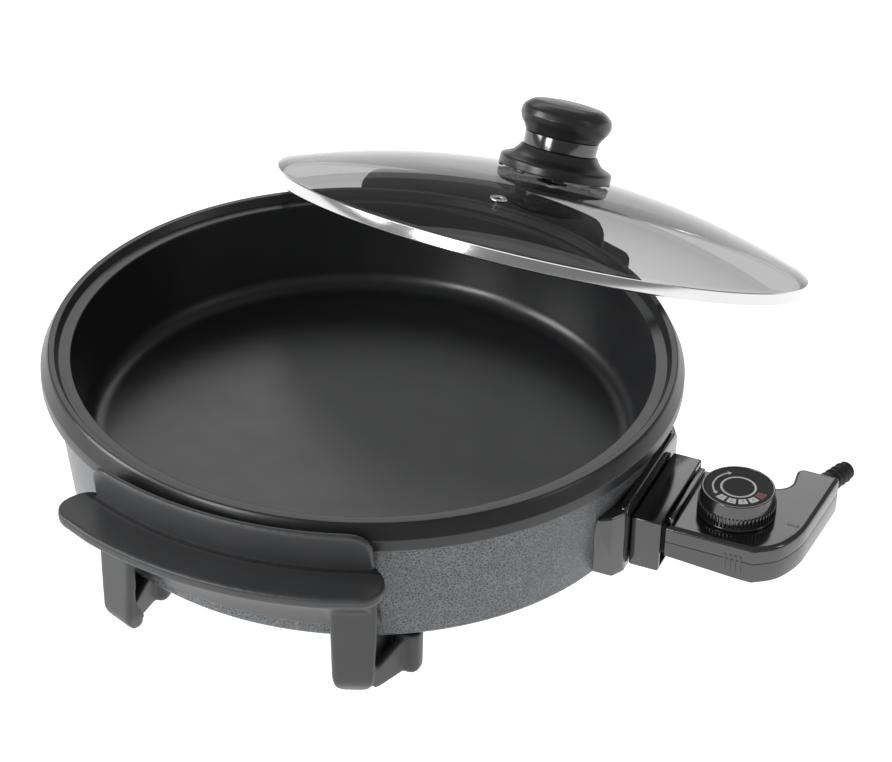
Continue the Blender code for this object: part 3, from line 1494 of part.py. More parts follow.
def make_boot():
    """The ribbed sleeve that the cord would leave by. Its neck sits in the arm's end."""
    rib_zone = BOOT_LENGTH * (1.0 - BOOT_PLAIN_SHARE)
    pitch = rib_zone / BOOT_RIBS
    outer = []
    for rib in range(BOOT_RIBS):
        start = BOOT_LENGTH - rib * pitch
        share = start / BOOT_LENGTH
        radius = BOOT_ROOT_RADIUS + share * (BOOT_TIP_RADIUS - BOOT_ROOT_RADIUS)
        outer += [
            (radius - BOOT_GROOVE / 2, start),
            (radius, start - pitch / 4),
            (radius, start - pitch / 2),
            (radius - BOOT_GROOVE, start - 3 * pitch / 4),
        ]
    outer.append((BOOT_ROOT_RADIUS, BOOT_LENGTH - rib_zone))
    outer.append((BOOT_ROOT_RADIUS, 0.0))
    profile = [
        (BOOT_BORE, BOOT_LENGTH),
        *outer,
        (BOOT_BORE, 0.0),
    ]
    boot = turned("cord_boot", profile, SOFT_RUBBER, PLUG, SIDES_SMALL)
    lean = math.radians(90.0 - BOOT_DEGREES)
    clear_y = ARM_END_Y + BOOT_ROOT_RADIUS * math.sin(lean) + GAP
    boot.location = (BOOT_X, clear_y, BOOT_Z)
    boot.rotation_euler = (
        Matrix.Rotation(math.radians(BOOT_DEGREES), 3, "Z")
        @ Matrix.Rotation(math.radians(90.0), 3, "Y")
    ).to_euler()
    # The neck is a tube of its own, joined on along the arm's own direction.
    neck = cylinder(
        "Boot neck",
        BOOT_NECK_RADIUS,
        (BOOT_X, ARM_END_Y - BOOT_NECK_LENGTH, BOOT_Z),
        (BOOT_X, clear_y + BOOT_ROOT_RADIUS, BOOT_Z),
        None,
        PLUG,
    )
    join(boot, neck)


def make_dial(spindle_low_z):
    """The dial with its ribbed skirt, its printed face and its spindle."""
    wall = DIAL_WALL
    recess = DIAL_FACE_RADIUS + GAP
    roof = DIAL_FACE_Z - GAP - wall
    profile = [
        (0.0, DIAL_FACE_Z - GAP),
        (recess, DIAL_FACE_Z - GAP),
        (recess, DIAL_TOP_Z),
        (DIAL_TOP_RADIUS - DIAL_EDGE / 2, DIAL_TOP_Z),
        (DIAL_TOP_RADIUS, DIAL_TOP_Z - DIAL_EDGE / 2),
        (DIAL_BASE_RADIUS - DIAL_RIB_DEPTH, DIAL_LOW_Z + DIAL_RIB_TOP),
        (DIAL_BASE_RADIUS - DIAL_RIB_DEPTH, DIAL_LOW_Z),
        (DIAL_BASE_RADIUS - wall, DIAL_LOW_Z),
        (DIAL_TOP_RADIUS - wall, roof),
        (HUB_RADIUS, roof),
        (HUB_RADIUS, DIAL_LOW_Z + GAP),
        (SPINDLE_RADIUS + GAP, DIAL_LOW_Z + GAP),
        (SPINDLE_RADIUS + GAP, roof),
        (0.0, roof),
    ]
    dial = turned("dial_knob", profile, BLACK_GLOSS, DIAL, SIDES_MIDDLE)
    teeth = []
    for index in range(2 * DIAL_RIB_COUNT):
        radius = DIAL_BASE_RADIUS - (index % 2) * DIAL_RIB_DEPTH
        teeth.append(Vector(polar(radius, 360.0 * index / (2 * DIAL_RIB_COUNT))))
    ribs = slab("Dial ribs", teeth, DIAL_LOW_Z + GAP, DIAL_LOW_Z + DIAL_RIB_TOP, None, DIAL)
    core = cylinder(
        "Dial rib core",
        DIAL_BASE_RADIUS - 2 * DIAL_RIB_DEPTH - GAP,
        (0.0, 0.0, DIAL_LOW_Z - OVERRUN),
        (0.0, 0.0, DIAL_LOW_Z + DIAL_RIB_TOP + OVERRUN),
        None,
        DIAL,
        sides=SIDES_MIDDLE,
    )
    cut(ribs, core)
    join(dial, ribs)
    cylinder(
        "dial_face",
        DIAL_FACE_RADIUS,
        (0.0, 0.0, DIAL_FACE_Z),
        (0.0, 0.0, DIAL_FACE_Z + DIAL_FACE_THICKNESS),
        DIAL_PRINT,
        DIAL,
        sides=SIDES_MIDDLE,
    )
    cylinder(
        "dial_spindle",
        SPINDLE_RADIUS,
        (0.0, 0.0, spindle_low_z),
        (0.0, 0.0, roof - GAP),
        BARE_STEEL,
        DIAL,
    )


def dome_height(radius):
    share = radius / DOME_EDGE_RADIUS
    return DOME_EDGE_Z + DOME_RISE * (1.0 - share**DOME_POWER)


def dome_slope(radius):
    share = radius / DOME_EDGE_RADIUS
    return -DOME_RISE * DOME_POWER * share ** (DOME_POWER - 1.0) / DOME_EDGE_RADIUS


def make_lid_glass():
    """The domed glass and the steel band that wraps its edge."""
    outer = []
    inner = []
    for step in range(DOME_STEPS + 1):
        radius = KNOB_HOLE_RADIUS + (DOME_EDGE_RADIUS - KNOB_HOLE_RADIUS) * (
            step / DOME_STEPS
        )
        drop = GLASS_THICKNESS * math.hypot(1.0, dome_slope(radius))
        outer.append((radius, dome_height(radius)))
        inner.append((radius, dome_height(radius) - drop))
    inner_edge = GLASS_EDGE_RADIUS - GLASS_THICKNESS + BAND_WALL
    inner = [point for point in inner if point[0] < inner_edge - SINK]
    profile = [
        *outer,
        (GLASS_EDGE_RADIUS, DOME_EDGE_Z - BAND_WALL),
        (GLASS_EDGE_RADIUS, GLASS_LOW_Z),
        (inner_edge, GLASS_LOW_Z),
        (inner_edge, dome_height(inner_edge) - GLASS_THICKNESS - BAND_WALL),
        *reversed(inner),
    ]
    glass = turned("lid_glass", profile, CLEAR_GLASS, LID)

    inside = BAND_RADIUS - BAND_DEPTH
    lip_z = GLASS_LOW_Z + (DOME_EDGE_Z - GLASS_LOW_Z) / 4
    soft = BAND_SOFTNESS
    turned(
        "lid_band",
        [
            (BAND_RADIUS, BAND_HEIGHT - BAND_WALL),
            (BAND_RADIUS, soft),
            (BAND_RADIUS - soft, 0.0),
            (inside + soft, 0.0),
            (inside, soft),
            (inside, lip_z),
            (inside + BAND_WALL, lip_z),
            (inside + BAND_WALL, GLASS_LOW_Z - GAP),
            (BAND_RADIUS - BAND_WALL, GLASS_LOW_Z - GAP),
            (BAND_RADIUS - BAND_WALL, BAND_HEIGHT - BAND_WALL),
        ],
        POLISHED_STEEL,
        LID,
    )

    height = dome_height(VENT_DISTANCE)
    slope = math.atan(dome_slope(VENT_DISTANCE))
    vent_frame = empty("Vent frame", LID)
    spin = Matrix.Rotation(math.radians(VENT_TURN_DEGREES), 4, "Z")
    lean = Matrix.Rotation(-slope, 4, "Y")
    vent_frame.matrix_local = spin @ Matrix.Translation((VENT_DISTANCE, 0.0, height)) @ lean
    drill = cylinder(
        "Vent drill",
        VENT_HOLE_RADIUS,
        (0.0, 0.0, -GLASS_THICKNESS - OVERRUN),
        (0.0, 0.0, OVERRUN),
        None,
        vent_frame,
    )
    cut(glass, drill)
    tube_radius = VENT_HOLE_RADIUS - GAP
    top = GAP + VENT_FLANGE_THICKNESS
    bottom = -GLASS_THICKNESS - GAP
    turned(
        "vent_eyelet",
        [
            (VENT_BORE_RADIUS + VENT_FLANGE_THICKNESS, top),
            (VENT_FLANGE_RADIUS - VENT_FLANGE_THICKNESS, top),
            (VENT_FLANGE_RADIUS, GAP),
            (tube_radius, GAP),
            (tube_radius, bottom),
            (VENT_FLANGE_RADIUS - VENT_FLANGE_THICKNESS, bottom),
            (VENT_FLANGE_RADIUS - VENT_FLANGE_THICKNESS, bottom - VENT_FLANGE_THICKNESS),
            (VENT_BORE_RADIUS, bottom - VENT_FLANGE_THICKNESS),
            (VENT_BORE_RADIUS, GAP),
        ],
        POLISHED_STEEL,
        vent_frame,
        SIDES_SMALL,
    )


def make_knob():
    """The knob: a flared base, a polished neck ring, a domed cap, and its screw and washer."""
    seat = dome_height(0.0)
    base_low = dome_height(KNOB_BASE_RADIUS) + KNOB_BASE_LIFT
    base_top = seat + KNOB_BASE_LIFT + KNOB_BASE_HEIGHT
    neck_low = base_top + GAP
    neck_top = neck_low + KNOB_NECK_HEIGHT
    stem_top = neck_top + KNOB_STEM_EXTRA
    bore = KNOB_SCREW_RADIUS + GAP
    flare = KNOB_BASE_RADIUS - KNOB_SHOULDER_RADIUS
    rim_top = base_low + KNOB_BASE_RIM
    rise = base_top - rim_top
    recess = base_low + 2 * KNOB_BASE_LIFT
    curve_shares = ((0.12, 0.04), (0.45, 0.22), (0.75, 0.55))
    profile = [
        (0.0, stem_top),
        (KNOB_STEM_RADIUS, stem_top),
        (KNOB_STEM_RADIUS, base_top),
        (KNOB_SHOULDER_RADIUS, base_top),
        *[
            (KNOB_BASE_RADIUS - flare * across, rim_top + rise * up)
            for across, up in reversed(curve_shares)
        ],
        (KNOB_BASE_RADIUS, rim_top),
        (KNOB_BASE_RADIUS, base_low),
        (KNOB_BASE_RADIUS - KNOB_PAD_DEPTH, base_low),
        (KNOB_BASE_RADIUS - KNOB_PAD_DEPTH, recess),
        (KNOB_HUB_RADIUS, recess + KNOB_BASE_LIFT),
        (KNOB_HUB_RADIUS, seat + GAP),
        (bore, seat + GAP),
        (bore, stem_top - KNOB_STEM_EXTRA),
        (0.0, stem_top - KNOB_STEM_EXTRA),
    ]
    base = turned("knob_base", profile, BLACK_KNOB, LID, SIDES_MIDDLE)
    middle = KNOB_BASE_RADIUS - KNOB_PAD_DEPTH / 2
    pad_low = dome_height(middle - KNOB_PAD_DEPTH / 2) + GAP
    for index in range(KNOB_PAD_COUNT):
        pad = box(
            f"Knob pad {index}",
            (middle - KNOB_PAD_DEPTH / 2 + GAP, -KNOB_PAD_WIDTH / 2, pad_low),
            (middle + KNOB_PAD_DEPTH / 2 - GAP, KNOB_PAD_WIDTH / 2, base_low + SINK),
            None,
            LID,
        )
        pad.rotation_euler = (0.0, 0.0, math.radians(360.0 * (index + 0.5) / KNOB_PAD_COUNT))
        join(base, pad)

    turned(
        "knob_neck_ring",
        [
            (KNOB_NECK_RADIUS, neck_top),
            (KNOB_NECK_RADIUS, neck_low),
            (KNOB_STEM_RADIUS + GAP, neck_low),
            (KNOB_STEM_RADIUS + GAP, neck_top),
        ],
        BLACK_GLOSS,
        LID,
        SIDES_MIDDLE,
    )

    cap_low = neck_top + GAP
    equator = cap_low + KNOB_FLARE_HEIGHT
    dome = [
        (KNOB_CAP_RADIUS * across, equator + KNOB_DOME_HEIGHT * up)
        for across, up in ((0.35, 0.99), (0.62, 0.93), (0.83, 0.74), (0.94, 0.45), (0.99, 0.16))
    ]
    flare_points = [
        (KNOB_NECK_RADIUS + (KNOB_CAP_RADIUS - KNOB_NECK_RADIUS) * across, cap_low + KNOB_FLARE_HEIGHT * up)
        for across, up in ((0.93, 0.72), (0.62, 0.45), (0.2, 0.15))
    ]
    turned(
        "knob_cap",
        [
            (0.0, equator + KNOB_DOME_HEIGHT),
            *dome,
            (KNOB_CAP_RADIUS, equator),
            *flare_points,
            (KNOB_NECK_RADIUS, cap_low),
            (KNOB_STEM_RADIUS + GAP, cap_low),
            (KNOB_STEM_RADIUS + GAP, stem_top + GAP),
            (0.0, stem_top + GAP),
        ],
        BLACK_KNOB,
        LID,
        SIDES_MIDDLE,
    )

    under = seat - GLASS_THICKNESS - GAP
    turned(
        "knob_washer",
        [
            (WASHER_RADIUS, under - dome_height(0.0) + dome_height(WASHER_RADIUS)),
            (WASHER_RADIUS, under - WASHER_THICKNESS),
            (bore, under - WASHER_THICKNESS),
            (bore, under - dome_height(0.0) + dome_height(WASHER_RADIUS)),
        ],
        SOFT_RUBBER,
        LID,
        SIDES_SMALL,
    )
    head_top = under - WASHER_THICKNESS - GAP
    turned(
        "knob_screw",
        [
            (0.0, head_top + KNOB_SCREW_LENGTH),
            (KNOB_SCREW_RADIUS, head_top + KNOB_SCREW_LENGTH),
            (KNOB_SCREW_RADIUS, head_top),
            (KNOB_SCREW_HEAD, head_top),
            (KNOB_SCREW_HEAD, head_top - KNOB_SCREW_HEAD_HEIGHT / 3),
            (KNOB_SCREW_HEAD / 2, head_top - KNOB_SCREW_HEAD_HEIGHT),
            (DRIVE_RADIUS, head_top - KNOB_SCREW_HEAD_HEIGHT),
            (DRIVE_RADIUS, head_top - KNOB_SCREW_HEAD_HEIGHT + DRIVE_DEPTH),
            (0.0, head_top - KNOB_SCREW_HEAD_HEIGHT + DRIVE_DEPTH),
        ],
        POLISHED_STEEL,
        LID,
        SIDES_SMALL,
    )


def leaning_place():
    """Where the lid's frame goes so that its glass is on the far plate and its edge on the table."""
    tilt = math.radians(LID_TILT_DEGREES)
    centre_z = BAND_RADIUS * math.sin(tilt) + LID_TABLE_GAP
    x, y = polar(PLATE_TOP_RADIUS + LID_OVERHANG, LID_TURN_DEGREES)
    return (x, y, centre_z)


def middle_of_box():
    """The middle, in plan, of the box round every solid."""
    bpy.context.view_layer.update()
    graph = bpy.context.evaluated_depsgraph_get()
    lows, highs = [], []
    for obj in MODEL.objects:
        if obj.type == "EMPTY":
            continue
        evaluated = obj.evaluated_get(graph)
        mesh = evaluated.to_mesh()
        points = np.empty(len(mesh.vertices) * 3)
        mesh.vertices.foreach_get("co", points)
        world = np.array(evaluated.matrix_world)
        points = points.reshape(-1, 3) @ world[:3, :3].T + world[:3, 3]
        evaluated.to_mesh_clear()
        lows.append(points.min(axis=0))
        highs.append(points.max(axis=0))
    low = np.min(lows, axis=0)
    high = np.max(highs, axis=0)
    return (low + high) / 2


clear_scene()
MODEL = new_collection("party_pan")
CUTTERS = new_collection("cutters")

BLACK_COATING = material("black_coating", (0.018, 0.019, 0.021), 0.42)
HAMMERED_PAINT = material("hammered_paint", (0.09, 0.095, 0.10), 0.38, metallic=0.4)
BLACK_MOULDING = material("black_moulding", (0.028, 0.029, 0.031), 0.5)
BLACK_GLOSS = material("black_gloss", (0.008, 0.008, 0.009), 0.12, coat=0.3)
BLACK_KNOB = material("black_knob", (0.014, 0.014, 0.015), 0.35)
BARE_STEEL = material("bare_steel", (0.52, 0.52, 0.53), 0.35, metallic=1.0)
POLISHED_STEEL = material("polished_steel", (0.75, 0.76, 0.77), 0.1, metallic=1.0)
BRASS = material("brass", (0.65, 0.48, 0.22), 0.3, metallic=1.0)
HEATPROOF_MOULDING = material("heatproof_moulding", (0.05, 0.045, 0.04), 0.7)
CLEAR_GLASS = material("clear_glass", (0.86, 0.9, 0.88), 0.03, alpha=0.35)
CLEAR_LENS = material("clear_lens", (0.75, 0.72, 0.7), 0.15)
DIAL_PRINT = material("dial_print", (0.01, 0.01, 0.011), 0.3)
SOFT_RUBBER = material("soft_rubber", (0.012, 0.012, 0.013), 0.6)

ASSEMBLY = empty("assembly")
PAN = empty("pan_frame", ASSEMBLY)
PLUG = empty("thermostat_frame", ASSEMBLY)
DIAL = empty("dial_frame", PLUG, (DIAL_X, 0.0, 0.0))
LID = empty(
    "lid_frame",
    ASSEMBLY,
    leaning_place(),
    Matrix.Rotation(math.radians(LID_TURN_DEGREES), 3, "Z")
    @ Matrix.Rotation(math.radians(LID_TILT_DEGREES), 3, "Y")
    @ Matrix.Rotation(math.radians(-LID_TURN_DEGREES), 3, "Z"),
)

make_bowl()
make_jacket()
make_base_cover()
make_element()
make_element_clamps()
make_sensor_guide()
make_socket()
make_handles()
make_case()
make_contacts()
make_dial(make_switch())
make_boot()
make_lid_glass()
make_knob()

shift = middle_of_box()
ASSEMBLY.location = (-shift[0], -shift[1], 0.0)
print(f"pan axis at x {-shift[0]:.6f} y {-shift[1]:.6f}")
print("lid frame at", [round(value, 6) for value in leaning_place()])
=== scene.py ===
# %% [markdown]
# # An electric party pan with a glass lid, in Blender
#
# The pan is a cast bowl in a hammered steel jacket. It stands on two moulded handles and takes
# a plug-in thermostat at its side, and a domed glass lid leans on the far handle. A plain model
# with every solid in its place is loaded first. Each step after that gives one piece its real
# outline, its small radii and its finish, in the same place.

# %%
import math

import bmesh
import bpy
import numpy as np
from mathutils import Matrix, Vector


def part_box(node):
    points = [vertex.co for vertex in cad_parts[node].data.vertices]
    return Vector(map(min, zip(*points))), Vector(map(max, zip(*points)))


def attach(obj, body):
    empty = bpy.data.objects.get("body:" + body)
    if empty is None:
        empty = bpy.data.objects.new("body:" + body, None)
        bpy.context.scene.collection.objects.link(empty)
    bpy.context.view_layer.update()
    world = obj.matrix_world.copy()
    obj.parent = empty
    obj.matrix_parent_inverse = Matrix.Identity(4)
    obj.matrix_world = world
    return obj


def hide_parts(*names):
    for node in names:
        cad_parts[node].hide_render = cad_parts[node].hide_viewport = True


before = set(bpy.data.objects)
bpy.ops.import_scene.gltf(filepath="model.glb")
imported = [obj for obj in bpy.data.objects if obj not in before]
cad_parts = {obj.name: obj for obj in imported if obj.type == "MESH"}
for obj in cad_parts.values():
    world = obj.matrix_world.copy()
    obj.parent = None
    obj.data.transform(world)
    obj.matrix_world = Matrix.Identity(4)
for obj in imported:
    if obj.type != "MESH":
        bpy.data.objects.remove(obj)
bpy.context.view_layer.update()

# %% [markdown]
# ## Where things are
#
# The bowl's axis is the natural zero for this object: nearly everything on the pan is turned
# round it. It is read from the loaded solid, so the looks follow the model if that moves.
# Lengths are in millimetres, the named ones too. Blender works in metres, so `mm` turns rows of
# lengths into metres, and a single length is multiplied by `MM`.

# %%
MM = 0.001
bowl_low, bowl_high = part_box("pan_bowl")
PAN_X = (bowl_low.x + bowl_high.x) / 2
PAN_Y = (bowl_low.y + bowl_high.y) / 2
PAN = Matrix.Translation((PAN_X, PAN_Y, 0))


def mm(*rows):
    """Rows of lengths in millimetres as rows in metres."""
    return [tuple(number * MM for number in row) for row in rows]


def shifted(x, y, z):
    """A shift by three lengths in millimetres."""
    return Matrix.Translation((x * MM, y * MM, z * MM))


def turned(degrees, axis="Z"):
    """A turn about one axis."""
    return Matrix.Rotation(math.radians(degrees), 4, axis)


print("bowl axis at", round(PAN_X, 4), round(PAN_Y, 4))

# %% [markdown]
# The lid has a frame of its own. Its zero is the plane of the steel band's lower edge, and its
# Z axis leans away from the pan. The lean follows from two contacts: the far edge of the lid
# is on the table, and the glass rests on the far handle. The same sum as in the solid model
# gives the place, so the glass, the band and the knob can all be drawn upright and then laid
# over together.

# %%
PLATE_TOP_RADIUS = 226
BAND_RADIUS = 197.5
LID_SET_BACK = 36
TABLE_GAP = 0.5
LID_TILT = 23.83
LID_TURN = 84.8


def leaning_lid():
    reach = PLATE_TOP_RADIUS + LID_SET_BACK
    height = BAND_RADIUS * math.sin(math.radians(LID_TILT)) + TABLE_GAP
    turn = turned(LID_TURN)
    return PAN @ turn @ shifted(reach, 0, height) @ turned(LID_TILT, "Y") @ turn.inverted()


LID = leaning_lid()
print("lid centre", [round(v, 4) for v in LID.translation])

# %% [markdown]
# ## The camera
#
# The photograph was taken with a long lens from a standing person's eye, looking down at 33
# degrees, and it is turned by not quite two degrees. These numbers were fitted to the circles
# of the rim, the collar and the lid. The camera is set by three turns rather than by a Track
# To constraint, because only that way does the small roll stay exact.

# %%
EYE = (54.322, -1657.963, 1169.839)
VIEW_TURN = 22
VIEW_DIP = 32.8540875
VIEW_ROLL = 1.7941543
FOCAL_PIXELS = 3000
PHOTO_WIDTH = 892
SENSOR_WIDTH = 36


def linked(name, data):
    """A new object that is part of the scene."""
    item = bpy.data.objects.new(name, data)
    bpy.context.scene.collection.objects.link(item)
    return item


def add_camera():
    camera = linked("camera", bpy.data.cameras.new("camera"))
    camera.data.sensor_width = SENSOR_WIDTH
    camera.data.lens = FOCAL_PIXELS / PHOTO_WIDTH * SENSOR_WIDTH
    camera.data.clip_end = 20
    aim = turned(90 - VIEW_DIP, "X") @ turned(VIEW_ROLL)
    camera.matrix_world = PAN @ turned(VIEW_TURN) @ shifted(*EYE) @ aim
    bpy.context.scene.camera = camera
    return camera


camera = add_camera()
print("lens", round(camera.data.lens, 2), "mm")

# %% [markdown]
# ## Shader sums written as Python
#
# A material is a small program on numbers that vary over the surface. Wiring each Math node by
# hand hides the formula, so `Field` wraps a socket and lets `+ - * / **` add the nodes.
# `Finish` holds one material. Its `node` method makes any other node from its type, its
# settings and its sockets.

# %%
class Field:
    """A shader socket that can be used in sums with numbers and with other fields."""

    def __init__(self, finish, socket):
        self.finish = finish
        self.socket = socket

    def math(self, operation, first, second):
        return self.finish.node("ShaderNodeMath", {"operation": operation}, {0: first, 1: second})

    def __add__(self, other):
        return self.math("ADD", self, other)

    __radd__ = __add__

    def __sub__(self, other):
        return self.math("SUBTRACT", self, other)

    def __rsub__(self, other):
        return self.math("SUBTRACT", other, self)

    def __mul__(self, other):
        return self.math("MULTIPLY", self, other)

    __rmul__ = __mul__

    def __truediv__(self, other):
        return self.math("DIVIDE", self, other)

    def __rtruediv__(self, other):
        return self.math("DIVIDE", other, self)

    def __pow__(self, other):
        return self.math("POWER", self, other)


class Finish:
    """One material, on a Principled shader."""

    def __init__(self, name, colour, roughness, **fixed):
        self.material = bpy.data.materials.new(name)
        self.material.use_nodes = True
        self.tree = self.material.node_tree
        self.shader = self.tree.nodes["Principled BSDF"]
        self.feed("Base Color", (*colour, 1))
        self.feed("Roughness", roughness)
        for socket, value in fixed.items():
            self.feed(socket.replace("_", " ").title().replace("Ior", "IOR"), value)
        self.coords = self.node("ShaderNodeTexCoord", {}, {}, "Object")

    def node(self, kind, settings, sockets, output=0):
        made = self.tree.nodes.new(kind)
        for key, value in settings.items():
            setattr(made, key, value)
        for key, value in sockets.items():
            self.join(made.inputs[key], value)
        return Field(self, made.outputs[output])

    def join(self, socket, value):
        """Links a field to a socket, or gives the socket a constant."""
        if isinstance(value, Field):
            self.tree.links.new(value.socket, socket)
        else:
            socket.default_value = value

    def feed(self, socket, value):
        self.join(self.shader.inputs[socket], value)

    def noise(self, size, detail=2, coords=None):
        """Soft noise from 0 to 1 whose patches are about the given size in millimetres."""
        sockets = {"Vector": coords or self.coords, "Scale": 0.5 / (size * MM), "Detail": detail}
        return self.node("ShaderNodeTexNoise", {}, sockets, "Fac")

    def step(self, value, low, high):
        """A smooth step from 0 to 1 as the value goes from low to high."""
        sockets = {"Value": value, "From Min": low, "From Max": high}
        return self.node("ShaderNodeMapRange", {"interpolation_type": "SMOOTHSTEP"}, sockets)

    def blend(self, share, first, second):
        """A colour between two colours."""
        first, second = (c if isinstance(c, Field) else (*c, 1) for c in (first, second))
        sockets = {0: share, 6: first, 7: second}
        return self.node("ShaderNodeMix", {"data_type": "RGBA"}, sockets, 2)

    def bump(self, height, depth, strength=1):
        """Height from 0 to 1 turned into a normal, for a relief of that depth in millimetres."""
        sockets = {"Height": height, "Distance": depth * MM, "Strength": strength}
        self.feed("Normal", self.node("ShaderNodeBump", {}, sockets))

    def position(self):
        """The three Object coordinates as fields."""
        split = self.node("ShaderNodeSeparateXYZ", {}, {0: self.coords}).socket.node
        return [Field(self, socket) for socket in split.outputs]


print("shader helpers ready")

# %% [markdown]
# ## Finishes
#
# **Cast bowl.** The bowl is aluminium with a satin black non-stick coat. Such a coat has a very
# fine orange-peel grain and catches light in broad soft bands. Two noises are enough: a coarse
# one moves the roughness a little, and a fine one gives the grain.

# %%
def coated_black():
    finish = Finish("nonstick_coat", (0.012, 0.0125, 0.0135), 0.3, specular_ior_level=0.55)
    cloud = finish.noise(9, 3)
    colour = finish.blend(cloud, (0.01, 0.0105, 0.0115), (0.014, 0.0145, 0.016))
    finish.feed("Base Color", colour)
    finish.feed("Roughness", 0.27 + 0.09 * cloud)
    finish.bump(finish.noise(0.35), 0.03, 0.5)
    return finish.material


NONSTICK = coated_black()
print("finish", NONSTICK.name)

# %% [markdown]
# **Hammered jacket.** Hammer paint pulls itself into small shiny cells with a paler net of
# veins between them. A Voronoi pattern gives cells of about two millimetres. Its distance to
# the nearest cell wall draws the veins, and its distance to the middle of the cell bends the
# surface, so that colour and relief agree.

# %%
CELLS_PER_METRE = 500


def hammered_paint():
    finish = Finish("hammer_finish", (0.07, 0.074, 0.078), 0.34, metallic=0.35)
    sockets = {"Vector": finish.coords, "Scale": 260, "Detail": 2}
    wobble = finish.node("ShaderNodeTexNoise", {}, sockets, "Color")
    sockets = {0: 0.0022, 4: finish.coords, 5: wobble}
    bent = finish.node("ShaderNodeMix", {"data_type": "VECTOR"}, sockets, 1)
    net = {"Vector": bent, "Scale": CELLS_PER_METRE}
    walls = finish.node("ShaderNodeTexVoronoi", {"feature": "DISTANCE_TO_EDGE"}, net, "Distance")
    net["Smoothness"] = 0.6
    cells = finish.node("ShaderNodeTexVoronoi", {"feature": "SMOOTH_F1"}, net, "Distance")
    vein = 1 - finish.step(walls, 0.02, 0.22)
    share = vein * (0.35 + 0.65 * finish.noise(3))
    finish.feed("Base Color", finish.blend(share, (0.055, 0.058, 0.062), (0.2, 0.21, 0.22)))
    finish.feed("Roughness", 0.3 + 0.18 * vein)
    finish.bump(cells, 0.25, 0.55)
    return finish.material


HAMMERED = hammered_paint()
print("finish", HAMMERED.name)

# %% [markdown]
# **Mouldings.** The thermostat and its socket come from a polished mould: nearly black, with
# sharp reflections that a slow waviness keeps from looking like glass. The knob and the dial
# are a little duller, and rubber and the heat-proof carrier duller still. One function makes
# all of them, because only colour, gloss and grain differ.

# %%
DEEP, DEEP_LIGHT = (0.008, 0.008, 0.009), (0.013, 0.013, 0.014)


def moulding(name, dark, light, gloss, grain_size, grain_depth, wave=0, **fixed):
    """A moulded finish. The size and depth of its grain and its waviness are in millimetres."""
    finish = Finish(name, dark, gloss, **fixed)
    cloud = finish.noise(14)
    finish.feed("Roughness", gloss * (0.85 + 0.3 * cloud))
    finish.feed("Base Color", finish.blend(cloud, dark, light))
    relief = finish.noise(grain_size) * grain_depth
    if wave:
        relief = relief + finish.noise(22, 1) * wave
    finish.bump(relief / (grain_depth + wave), grain_depth + wave)
    return finish.material


GLOSS_BLACK = moulding(
    "gloss_moulding", DEEP, (0.012, 0.012, 0.013), 0.14, 0.8, 0.001,
    wave=0.05, specular_ior_level=0.85, ior=1.6,
)
KNOB_BLACK = moulding(
    "knob_moulding", (0.014, 0.014, 0.015), (0.022, 0.022, 0.023), 0.32, 0.5, 0.006
)
RUBBER = moulding("soft_rubber", (0.012, 0.012, 0.013), (0.02, 0.02, 0.021), 0.55, 0.3, 0.02)
HEATPROOF = moulding(
    "heatproof_moulding", (0.045, 0.04, 0.036), (0.06, 0.055, 0.05), 0.72, 0.4, 0.03
)
DIAL_BLACK = moulding(
    "dial_moulding", DEEP, DEEP_LIGHT, 0.16, 0.5, 0.002, specular_ior_level=0.9, ior=1.6
)
DISC_BLACK = moulding("dial_disc", DEEP, DEEP_LIGHT, 0.5, 0.5, 0.004, specular_ior_level=0.25)
print("five mouldings and a rubber")

# %% [markdown]
# **Metals.** The band round the lid is polished stainless strip. Polishing leaves hair-fine
# lines, so its roughness comes from a noise that is stretched along one direction. The plain
# steel underneath the pan is duller and blotched, the element is browned by heat, and the pins
# are brass.

# %%
def metal(name, dark, light, gloss, line_size, stretch=(1, 1, 1)):
    finish = Finish(name, light, gloss, metallic=1)
    sockets = {"Vector": finish.coords, "Scale": stretch}
    lines = finish.noise(line_size, 3, finish.node("ShaderNodeMapping", {}, sockets))
    finish.feed("Roughness", gloss * (0.7 + 0.6 * lines))
    finish.feed("Base Color", finish.blend(finish.noise(25), dark, light))
    finish.bump(lines, 0.002, 0.6)
    return finish.material


POLISHED = metal("polished_steel", (0.6, 0.6, 0.61), (0.72, 0.72, 0.73), 0.15, 1.2, (0.2, 0.2, 6))
PLAIN_STEEL = metal("plain_steel", (0.34, 0.34, 0.35), (0.46, 0.46, 0.47), 0.36, 1)
HEATED_STEEL = metal("heated_steel", (0.16, 0.12, 0.09), (0.32, 0.29, 0.27), 0.42, 2)
BRASS = metal("plain_brass", (0.5, 0.36, 0.16), (0.66, 0.5, 0.24), 0.28, 1)
print("four metals")

# %% [markdown]
# **Glass.** A real pane bends light twice and sends it on in almost the same direction, so a
# thin dome looks like a clear sheet that adds reflections, most of them where it is seen at a
# flat angle. A Transparent shader mixed with a mirror-like one by the viewing angle gives just
# that, with light shadows and no noise. The two skins of the glass double the reflection.

# %%
def clear_glass():
    finish = Finish("tempered_glass", (0.02, 0.022, 0.021), 0.02, specular_ior_level=1)
    tint = {"Color": (0.8, 0.805, 0.8, 1)}
    see_through = finish.node("ShaderNodeBsdfTransparent", {}, tint, "BSDF")
    facing = finish.node("ShaderNodeLayerWeight", {}, {"Blend": 0.5}, "Facing")
    share = 0.12 + facing**4 * (0.8 + 0.1 * finish.noise(30, 1))
    mirror = Field(finish, finish.shader.outputs[0])
    mixed = finish.node("ShaderNodeMixShader", {}, {0: share, 1: see_through, 2: mirror})
    finish.join(finish.tree.nodes["Material Output"].inputs["Surface"], mixed)
    return finish.material


GLASS = clear_glass()
print("finish", GLASS.name)

